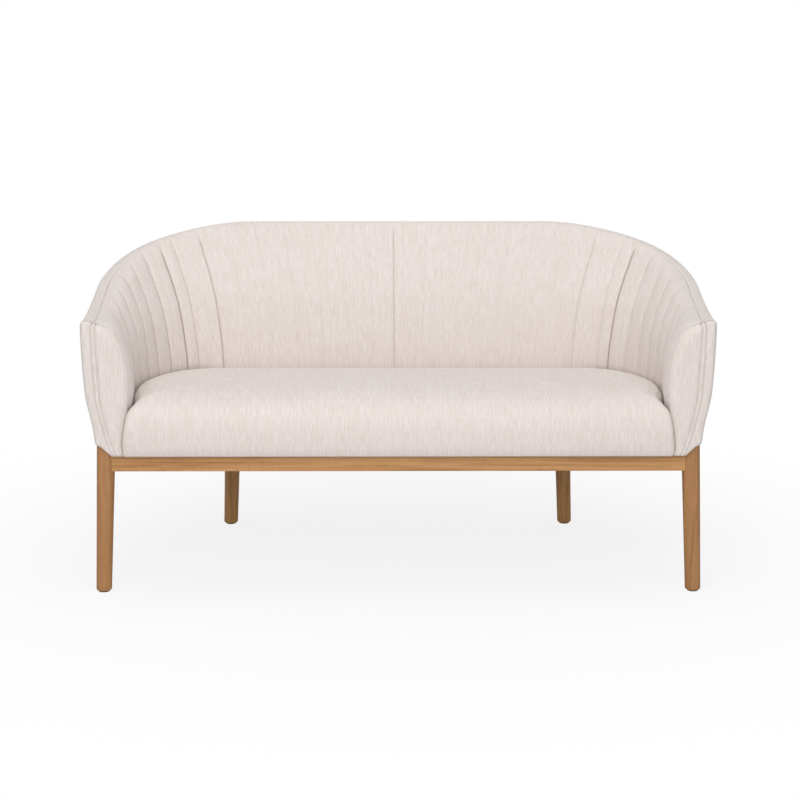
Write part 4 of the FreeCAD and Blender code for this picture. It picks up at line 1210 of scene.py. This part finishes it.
@dataclass
class ArmFacing:
    """Padded front of one arm: an outer band, two rows of topstitching and a soft pad."""

    form: BodyForm
    side: Side
    pad_edge: Array
    seam_lines: list[Array] = field(default_factory=list)
    outer_radius: float = 0.0075
    top_radius: float = 0.0022
    roll_top: float = 0.016
    hem_radius: float = 0.007
    hem_gap: float = 0.0015
    hem_sag: float = 0.004
    hem_rise: float = 0.001
    hem_shares: tuple = (0.54, 0.32)
    corner_softening: float = 0.0015
    hem_softening: float = 0.005
    top_softening: float = 0.002
    hem_bow: int = 3
    top_bow: int = 12
    band: float = 0.0212
    band_spread: float = 0.0218
    spread_power: int = 9
    row_gap: float = 0.0080
    row_gap_swell: float = 0.0012
    row_depths: tuple = (0.0024, 0.0028)
    row_width: float = 0.0016
    row_start: float = 0.003
    row_fade: float = 0.004
    pad_swell: float = 0.0014
    pad_start: float = 0.022
    pad_fade: float = 0.016
    stitch_pitch: float = 0.0052
    stitch_lift: float = 0.0004
    thickness: float = 0.0025

    ROWS = np.concatenate([np.linspace(0.0, 0.03, 8)[:-1], np.linspace(0.03, 0.95, 120),
                           np.linspace(0.95, 1.0, 16)[1:]])
    EDGE = (0.0, 0.0004, 0.0011, 0.0022, 0.0038, 0.006, 0.0085, 0.012, 0.0155)
    NEAR = (-0.0026, -0.0016, -0.0008, 0.0, 0.0008, 0.0016, 0.0026)
    PAD = np.concatenate([np.linspace(0.06, 0.6, 9),
                          1 - np.array([0.36, 0.3, 0.24, 0.19, 0.145, 0.105, 0.07, 0.042, 0.02, 0.007, 0.0])])
    CORNER = np.array([[0.0005, 0.005], [0.0030, 0.0006]])
    SIDE_POINTS = 60
    EDGE_SAMPLES = 240
    PARTS = 8
    LEAST_PAD = 1e-6

    @property
    def prefix(self) -> str:
        """Start of the names of this arm's pieces."""
        return f"{self.side.name.lower()}_arm"

    def seam_places(self, share: Array) -> tuple[Array, Array]:
        """Distances of the two topstitched seams from the outer edge, at shares of the facing's height."""
        first = self.band + self.band_spread * (1 - share) ** self.spread_power
        return first, first + self.row_gap + self.row_gap_swell * np.sin(math.pi * share)

    def outline(self) -> tuple[Array, Array, Array, Array]:
        """Outer side, inner side, hem and top of the facing, in distance outwards and height."""
        sizes, station = self.form.sizes, self.form.end()
        width, rim = station.width[0], station.rim[0]
        heights = np.linspace(sizes.frame_bottom, rim - sizes.rim_edge, self.SIDE_POINTS)
        outer = np.stack([station.outer_face(heights[None, :])[0], heights], axis=1)
        outer = rounded(np.concatenate([outer, np.array([width, rim]) - self.CORNER]), self.corner_softening)
        inner = self.pad_edge
        cut = int(np.argmax(inner[:, 1] > rim - self.roll_top))
        low = np.array([[inner[0, 0], sizes.hem + self.hem_gap]])
        side = np.concatenate([low, inner[:cut + 1]])
        top = np.concatenate([outer[-1:], [[width - sizes.rim_edge, rim]], inner[:cut:-1], side[-1:]])
        outward, inward = (width * share for share in self.hem_shares)
        hem = np.array([outer[0], [outward, sizes.frame_bottom - self.hem_sag], [inward, sizes.hem + self.hem_rise],
                        low[0]])
        return outer, side, rounded(hem, self.hem_softening), rounded(top, self.top_softening)

    def build(self, material: bpy.types.Material) -> bpy.types.Object:
        """Makes the facing and dresses it."""
        outer, inner, hem, top = self.outline()
        rows = self.ROWS
        outer_points, inner_points = (sampled(line, rows * lengths_of(line)[-1]) for line in (outer, inner))
        reach = np.linalg.norm(inner_points - outer_points, axis=1)
        first, second = self.seam_places(rows)
        start = second + self.NEAR[-1]
        columns = [np.full_like(rows, place) for place in self.EDGE]
        columns += [seam + step for seam in (first, second) for step in self.NEAR]
        columns += [start + (reach - start) * share for share in self.PAD]
        distance = np.stack(columns)
        share = (distance / reach[None, :])[:, :, None]
        grid = outer_points[None] * (1 - share) + inner_points[None] * share
        for line, weight in ((hem, (1 - rows) ** self.hem_bow), (top, rows ** self.top_bow)):
            bow = sampled(line, share[:, 0, 0] * lengths_of(line)[-1])
            bow = bow - (line[0] * (1 - share[:, 0]) + line[-1] * share[:, 0])
            grid = grid + bow[:, None, :] * weight[None, :, None]
        pad = np.clip((distance - second) / np.maximum(reach - second, self.LEAST_PAD), 0.0, 1.0)
        thick = self.form.sizes.arm_end_y - self.form.sizes.arm_front_y
        forward = self.forward(grid, distance, (hem, inner, top))
        forward = forward * (thick + self.pad_swell * np.sin(math.pi * pad))
        forward, painted_shade = self.sewn(forward, distance, (first, second))
        points = self.form.end().place(grid[:, :, 0].reshape(1, -1), grid[:, :, 1].reshape(1, -1))
        points = points.reshape(*distance.shape, 3)
        points[:, :, 1] -= forward
        points[:, :, 0] *= self.side.value
        piece = mesh_object(f"{self.prefix}_front", points, grid_faces(*distance.shape, flip=self.side is Side.LEFT))
        add_cloth_map(piece, np.stack([distance, grid[:, :, 1]], axis=2))
        add_painted_shade(piece, painted_shade)
        thicken(piece, self.thickness)
        middle = len(self.EDGE) + len(self.NEAR) // 2
        self.seam_lines = [points[middle], points[middle + len(self.NEAR)]]
        return dress(piece, material, [f"{self.prefix}_facing"])

    def sewn(self, forward: Array, distance: Array, seams: Sequence[Array]) -> tuple[Array, Array]:
        """Draws the topstitched seams in and paints shade along them.

        Args:
            forward: How far each point stands forward, indexed by column and row.
            distance: Its distance from the outer edge.
            seams: Distance of each seam from the outer edge, by row.

        Returns:
            The new distances forward, and the painted shade along the seams.
        """
        painted_shade = np.zeros_like(forward)
        for seam, depth in zip(seams, self.row_depths):
            line = bell(distance - seam, self.row_width)
            forward = forward - depth * line * smooth((forward - self.row_start) / self.row_fade)
            # Painted shade along each seam's groove.
            painted_shade = np.maximum(painted_shade, line)
        return forward, painted_shade

    def stitches(self, material: bpy.types.Material) -> bpy.types.Object:
        """Lays the topstitching along both seams of the facing."""
        ahead = np.array([0.0, -self.stitch_lift, 0.0])
        lines = [line + ahead for line in self.seam_lines]
        return stitched(f"{self.prefix}_topstitching", lines, self.stitch_pitch, material)

    def forward(self, grid: Array, distance: Array, edges: Sequence[Array]) -> Array:
        """Share of the facing's thickness: 0 on its outline, 1 inside its rounded edges.

        Args:
            grid: Points in distance outwards and height, indexed by column and row.
            distance: Their distances from the outer edge.
            edges: Lines of the hem, the inner side and the top.

        Returns:
            The shares, indexed by column and row.
        """
        def fall(gap: Array, radius: float) -> Array:
            """Quarter ellipse over an edge's radius."""
            return np.sqrt(np.maximum(0.0, 1 - (1 - np.minimum(gap / radius, 1.0)) ** 2))

        def gap_to(line: Array) -> Array:
            """Distance of each point from an edge."""
            dense = sampled(line, np.linspace(0.0, lengths_of(line)[-1], self.EDGE_SAMPLES))
            parts = np.array_split(grid.reshape(-1, 1, 2), self.PARTS)
            return np.concatenate([np.linalg.norm(part - dense[None], axis=2).min(axis=1)
                                   for part in parts]).reshape(grid.shape[:2])

        hem_gap, inner_gap, top_gap = (gap_to(line) for line in edges)
        gap = np.minimum(inner_gap, top_gap)
        on_pad = smooth((distance - self.pad_start) / self.pad_fade)
        rolled = fall(gap, self.top_radius) * (1 - on_pad) + EDGE_ROLL.forward(gap) * on_pad
        share = fall(distance, self.outer_radius) * fall(hem_gap, self.hem_radius) * rolled
        share[[0, -1], :] = share[:, [0, -1]] = 0.0
        return share


THREAD_RADIUS = 0.00055
STITCH_SHARE = 0.36
LOOK_AHEAD = 0.0005


def stitched(name: str, lines: Sequence[Array], pitch: float, material: bpy.types.Material) -> bpy.types.Object:
    """Row of stitches along each line, one modelled stitch copied to every place.

    Args:
        name: Name of the joined piece.
        lines: Points of each line, in rows.
        pitch: Distance from one stitch to the next.
        material: The thread's finish.

    Returns:
        The joined stitches.
    """
    bpy.ops.object.select_all(action="DESELECT")
    bpy.ops.mesh.primitive_uv_sphere_add(segments=8, ring_count=6, radius=THREAD_RADIUS, location=(0.0, 0.0, 0.0))
    first = bpy.context.active_object
    first.name = name
    bpy.ops.object.mode_set(mode="EDIT")
    bpy.ops.mesh.select_all(action="SELECT")
    bpy.ops.transform.resize(value=(1.0, 1.0, STITCH_SHARE * pitch / THREAD_RADIUS))
    bpy.ops.object.mode_set(mode="OBJECT")
    bpy.ops.object.shade_smooth()
    shape = first.data.copy()
    copies = []
    for line in lines:
        total = lengths_of(line)[-1]
        places = np.arange(pitch / 2, total, pitch)
        for point, ahead in zip(sampled(line, places), sampled(line, np.minimum(places + LOOK_AHEAD, total))):
            copy = bpy.data.objects.new(name, shape)
            copy.location = point
            copy.rotation_euler = Vector(tuple(ahead - point)).to_track_quat("Z", "Y").to_euler()
            bpy.context.scene.collection.objects.link(copy)
            copies.append(copy)
    first.data.clear_geometry()
    bpy.context.view_layer.update()
    only(first)
    for copy in copies:
        copy.select_set(True)
    bpy.ops.object.join()
    return dress(first, material)


@dataclass
class SeatCushion:
    """Tight crowned seat between the arms, in one piece with its front."""

    form: BodyForm
    front_y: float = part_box("seat_cover")[0].y
    crown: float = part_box("seat_cover")[1].z
    clearance: float = 0.0048
    corner_radius: float = 0.007
    softening: float = 0.007
    around: int = 480
    rows: int = 64
    row_power: float = 1.15
    spine_half: float = 0.36
    crown_rows: int = 14
    crown_lift: float = 0.0016
    map_setback: float = 0.008
    map_drop: float = 0.012
    merge: float = 0.0004
    thickness: float = 0.003

    TURN_POINTS = 60
    SIDE_POINTS = 14

    def levels(self) -> Array:
        """Profile of the seat, whose top falls to the back.

        Returns:
            Height, setback of the front, inset of the sides and inset of the back, from the hem to the crown.
        """
        low, crease, top = self.form.sizes.hem, self.form.sizes.crease, self.crown
        steps = [(low, 0.014, 0.0, 0.0), (low + 0.016, 0.004, 0.0, 0.0), (low + 0.042, 0.001, 0.0, 0.0),
                 (crease - 0.036, 0.001, 0.0, 0.0), (crease - 0.012, 0.008, 0.0015, 0.001),
                 (crease + 0.004, 0.022, 0.006, 0.012), (top - 0.019, 0.041, 0.015, 0.072),
                 (top - 0.009, 0.068, 0.036, 0.122), (top - 0.002, 0.108, 0.080, 0.160),
                 (top, 0.145, 0.125, 0.185)]
        return rounded(np.array(steps), self.softening)

    def arm_face(self, gap: Array, height: float) -> Array:
        """Distance outwards of the covered arm at distances behind its front's joint, at one height."""
        stations = Stations(self.form, self.form.inner.length - gap)
        shape = zip(stations.width, stations.seam_height, stations.on_back, stations.on_front)
        lines = [self.form.inner_line(*station) for station in shape]
        bare = np.array([np.interp(height, line[:, 1], line[:, 0]) for line in lines])
        return bare + EDGE_ROLL.draw(gap)

    def outline(self, height: float, setback: float, inset: float, back_inset: float) -> Array:
        """Closed plan outline of the seat at one level.

        Args:
            height: The level.
            setback: Distance of the front edge behind the seat's front.
            inset: Distance of the sides inside the largest outline.
            back_inset: Distance of the back edge inside the largest outline.

        Returns:
            Points from the middle of the back, round by the right.
        """
        form = self.form
        half = form.seat_half - self.clearance - inset
        back = form.seat_back - self.clearance - back_inset
        flat = form.seat_flat
        depth = form.sizes.seat_corner_depth - self.clearance - back_inset
        front, radius = self.front_y + setback, self.corner_radius
        turn = np.linspace(0.0, QUARTER_TURN, self.TURN_POINTS)
        corner = np.stack([flat + (half - flat) * np.sin(turn), back - depth + depth * np.cos(turn)], axis=1)
        end = form.sizes.arm_end_y
        last = max(front, end - EDGE_ROLL.start) + radius - end
        gap = np.linspace(max(form.inner.length - form.sizes.belly_start, last), last, self.SIDE_POINTS)
        side = np.stack([half + self.arm_face(np.maximum(gap, 0.0), height), end + gap], axis=1)
        wide = side[-1, 0]
        bend = np.stack([wide - radius + radius * np.cos(turn), front + radius - radius * np.sin(turn)], axis=1)
        right = np.concatenate([[[0.0, back]], corner, side, bend, [[0.0, front]]])
        left = right[::-1][1:-1] * np.array([-1.0, 1.0])
        return np.concatenate([right, left, right[:1]])

    def surface(self) -> Array:
        """Seat's shown surface: rings from the hem to the crown, which close on a spine along the middle.

        Returns:
            Points, indexed by column and row.
        """
        levels = self.levels()
        profile = sampled(levels, np.linspace(0.0, 1.0, self.rows) ** self.row_power * lengths_of(levels)[-1])
        rings = []
        for height, setback, inset, back_inset in profile:
            line = self.outline(height, setback, inset, back_inset)
            ring = sampled(line, np.linspace(0.0, lengths_of(line)[-1], self.around + 1)[:-1])
            rings.append(np.column_stack([ring, np.full(self.around, height)]))
        crown = rings[-1]
        spine = np.column_stack([np.clip(crown[:, 0], -self.spine_half, self.spine_half),
                                 np.full(self.around, crown[:, 1].mean()), crown[:, 2]])
        for step in np.linspace(0.0, 1.0, self.crown_rows)[1:]:
            lift = self.crown_lift * math.sin(QUARTER_TURN * step)
            rings.append(crown * (1 - step) + spine * step + np.array([0.0, 0.0, lift]))
        return np.stack(rings, axis=1)

    def build(self, material: bpy.types.Material) -> bpy.types.Object:
        """Makes the seat and dresses it."""
        points, sizes = self.surface(), self.form.sizes
        piece = mesh_object("seat_cushion", points, grid_faces(*points.shape[:2], closed=True, flip=True))
        edge_y, edge_z = self.front_y + self.map_setback, sizes.crease - self.map_drop
        depth, height = points[:, :, 1], points[:, :, 2]
        length = np.where(height < edge_z, height, edge_z + np.hypot(depth - edge_y, height - edge_z)) - sizes.hem
        add_cloth_map(piece, np.stack([points[:, :, 0], length], axis=2))
        only(piece)
        bpy.ops.object.mode_set(mode="EDIT")
        bpy.ops.mesh.select_all(action="SELECT")
        bpy.ops.mesh.remove_doubles(threshold=self.merge)
        bpy.ops.object.mode_set(mode="OBJECT")
        thicken(piece, self.thickness)
        return dress(piece, material, ["seat_cover", "seat_foam"])


# Carried-over construction

def pair(name: str) -> tuple[str, str]:
    """Names of the right one and the left one of two like nodes."""
    return f"right_{name}", f"left_{name}"


def paint(nodes: Sequence[str], material: bpy.types.Material) -> None:
    """Puts one material on carried-over nodes."""
    for node in nodes:
        piece = frame["nodes"][node]
        piece.data.materials.clear()
        piece.data.materials.append(material)


@dataclass(frozen=True)
class Woodwork:
    """Oak legs and rails, and the bare timber inside."""

    oak: OakFinish = OakFinish()
    leg_oak: OakFinish = OakFinish(srgb(180, 130, 80), srgb(158, 110, 64), srgb(124, 82, 44), srgb(98, 62, 34))
    timber: TimberFinish = TimberFinish()
    seed_step: float = 3.7

    def dress(self) -> None:
        """Gives each wooden node its finish, with the grain along its length."""
        groups = ((("front_rail", "rear_rail"), Grain.WIDTH, self.oak), (pair("front_leg"), Grain.HEIGHT, self.leg_oak),
                  (pair("rear_leg"), Grain.HEIGHT, self.oak), (pair("side_rail"), Grain.DEPTH, self.oak))
        seed = 0.0
        for names, grain, finish in groups:
            for name in names:
                seed += self.seed_step
                paint([name], finish.make(f"oak_{name}", grain=grain, seed=seed))
        lying = ("seat_front_rail", "seat_rear_rail", "rail_dowels", "top_rail", "front_corner_blocks",
                 "rear_corner_blocks", *pair("seat_corner_rail"))
        running = ("centre_cross_rail", *pair("seat_side_rail"))
        standing = ("back_posts", "arm_posts", *pair("arm_front_post"))
        for names, grain in ((lying, Grain.WIDTH), (running, Grain.DEPTH), (standing, Grain.HEIGHT)):
            paint(names, self.timber.make(f"frame_timber_{grain.name.lower()}", grain=grain))


def dress_hidden_work() -> None:
    """Gives the boards, linings, springs, fasteners and glides their finishes."""
    paint(["base_ring"], PlyFinish().make("plywood_ring"))
    paint(["outer_back_board"], BoardFinish().make("fibreboard"))
    paint(["dust_cover"], LiningCloth().make("black_lining"))
    paint(["back_hessian"], LiningCloth(srgb(168, 140, 100), srgb(206, 182, 142), 0.0032).make("hessian"))
    paint(["seat_insulator_pad"], FeltFinish().make("felt"))
    paint(["leg_bolts", "leg_bolt_washers", "leg_bolt_nuts", "body_screws", "glide_nails", "spring_clips",
           "spring_tie_wires", "sinuous_springs"], SteelFinish().make("zinc_steel"))
    paint([*pair("front_glide"), *pair("rear_glide")], NylonFinish().make("nylon_glide"))


# Studio

WHITE = (1.0, 1.0, 1.0)


@dataclass(frozen=True)
class Studio:
    """Camera at the photograph's angle, soft lamps and a pale floor."""

    lens: float = 82.26
    place: tuple = (-0.017, -4.101, 1.2603)
    pitch: float = 12.34
    yaw: float = 0.30
    floor_colour: tuple = (0.86, 0.86, 0.86)
    floor_white: float = 0.84
    world_light: float = 0.34

    def camera(self) -> None:
        """Makes the camera."""
        data = bpy.data.cameras.new("camera")
        data.lens = self.lens
        data.sensor_width = 36.0
        camera = bpy.data.objects.new("camera", data)
        camera.location = self.place
        camera.rotation_euler = (math.radians(90 - self.pitch), 0.0, -math.radians(self.yaw))
        bpy.context.scene.collection.objects.link(camera)
        bpy.context.scene.camera = camera

    def lamp(self, name: str, place: Sequence[float], aim: Sequence[float], size: float, watts: float) -> None:
        """Adds a square soft lamp.

        Args:
            name: The lamp's name.
            place: Where it stands.
            aim: The point that it faces.
            size: Length of its side.
            watts: Its power.
        """
        data = bpy.data.lights.new(name, "AREA")
        data.shape = "SQUARE"
        data.size = size
        data.energy = watts
        lamp = bpy.data.objects.new(name, data)
        lamp.location = place
        direction = np.array(aim) - np.array(place)
        pitch = math.acos(-direction[2] / np.linalg.norm(direction))
        lamp.rotation_euler = (pitch, 0.0, math.atan2(direction[1], direction[0]) - math.pi / 2)
        bpy.context.scene.collection.objects.link(lamp)

    def world(self) -> None:
        """White behind the settee and a soft grey light from all round."""
        world = bpy.data.worlds.new("studio")
        bpy.context.scene.world = world
        world.use_nodes = True
        tree = Tree(world.node_tree, "ShaderNodeOutputWorld")
        paths = tree.node("ShaderNodeLightPath")
        camera, glossy = (Sock(tree, paths.outputs[name]) for name in ("Is Camera Ray", "Is Glossy Ray"))
        seen = camera.math("MAXIMUM", glossy)
        strength = tree.read("ShaderNodeMapRange", 0, None, {"Value": seen, "To Min": self.world_light, "To Max": 1.0})
        tree.end(tree.node("ShaderNodeBackground", None, {"Color": WHITE, "Strength": strength}))

    def floor(self) -> None:
        """Pale floor that keeps the shadow, fades to white further out and can't be seen from below."""
        bpy.ops.object.select_all(action="DESELECT")
        bpy.ops.mesh.primitive_circle_add(vertices=64, radius=9.0, fill_type="NGON", location=(0.0, 0.0, 0.0))
        floor = bpy.context.active_object
        floor.name = "studio_floor"
        shader = Shader("studio_floor")
        at = shader.coordinates()
        away = (at.x * at.x * 0.8 + at.y * at.y) ** 0.5
        shown = shader.read("ShaderNodeLightPath", "Is Camera Ray")
        share = (self.floor_white + away.step(0.4, 1.4) * (1 - self.floor_white)) * shown
        matt = shader.read("ShaderNodeBsdfDiffuse", 0, None, {"Color": self.floor_colour})
        white = shader.read("ShaderNodeEmission", 0, None, {"Color": WHITE, "Strength": 1.0})
        mixed = shader.read("ShaderNodeMixShader", 0, None, {0: share, 1: matt, 2: white})
        below = shader.read("ShaderNodeNewGeometry", "Backfacing") * shown
        clear = shader.read("ShaderNodeBsdfTransparent", 0)
        shader.end(shader.node("ShaderNodeMixShader", None, {0: below, 1: mixed, 2: clear}))
        floor.data.materials.append(shader.material)

    def build(self) -> None:
        """Sets the whole studio up."""
        bpy.context.scene.view_settings.view_transform = "Standard"
        self.camera()
        self.world()
        self.floor()
        self.lamp("key_lamp", (-0.9, -3.6, 2.3), (0.0, 0.0, 0.35), 2.2, 65.0)
        self.lamp("fill_lamp", (1.1, -3.6, 1.3), (0.0, 0.0, 0.35), 2.0, 24.0)
        self.lamp("top_lamp", (0.0, -0.3, 3.0), (0.0, 0.0, 0.0), 2.2, 29.0)


def main() -> None:
    """Builds the pieces in order."""
    logging.basicConfig(level=logging.INFO, format="%(message)s")
    Studio().build()
    form = BodyForm(BodySizes())
    cloth = SlubCloth().make("slub_cloth")
    thread = SewingThread().make("sewing_thread")
    InsideBack(form).build(cloth)
    OutsideCover(form).build(cloth)
    RimBand(form).build(cloth)
    for side in Side:
        facing = ArmFacing(form, side, InsideBack(form).end_line())
        facing.build(cloth)
        facing.stitches(thread)
    SeatCushion(form).build(cloth)
    Woodwork().dress()
    dress_hidden_work()


if __name__ == "__main__":
    main()
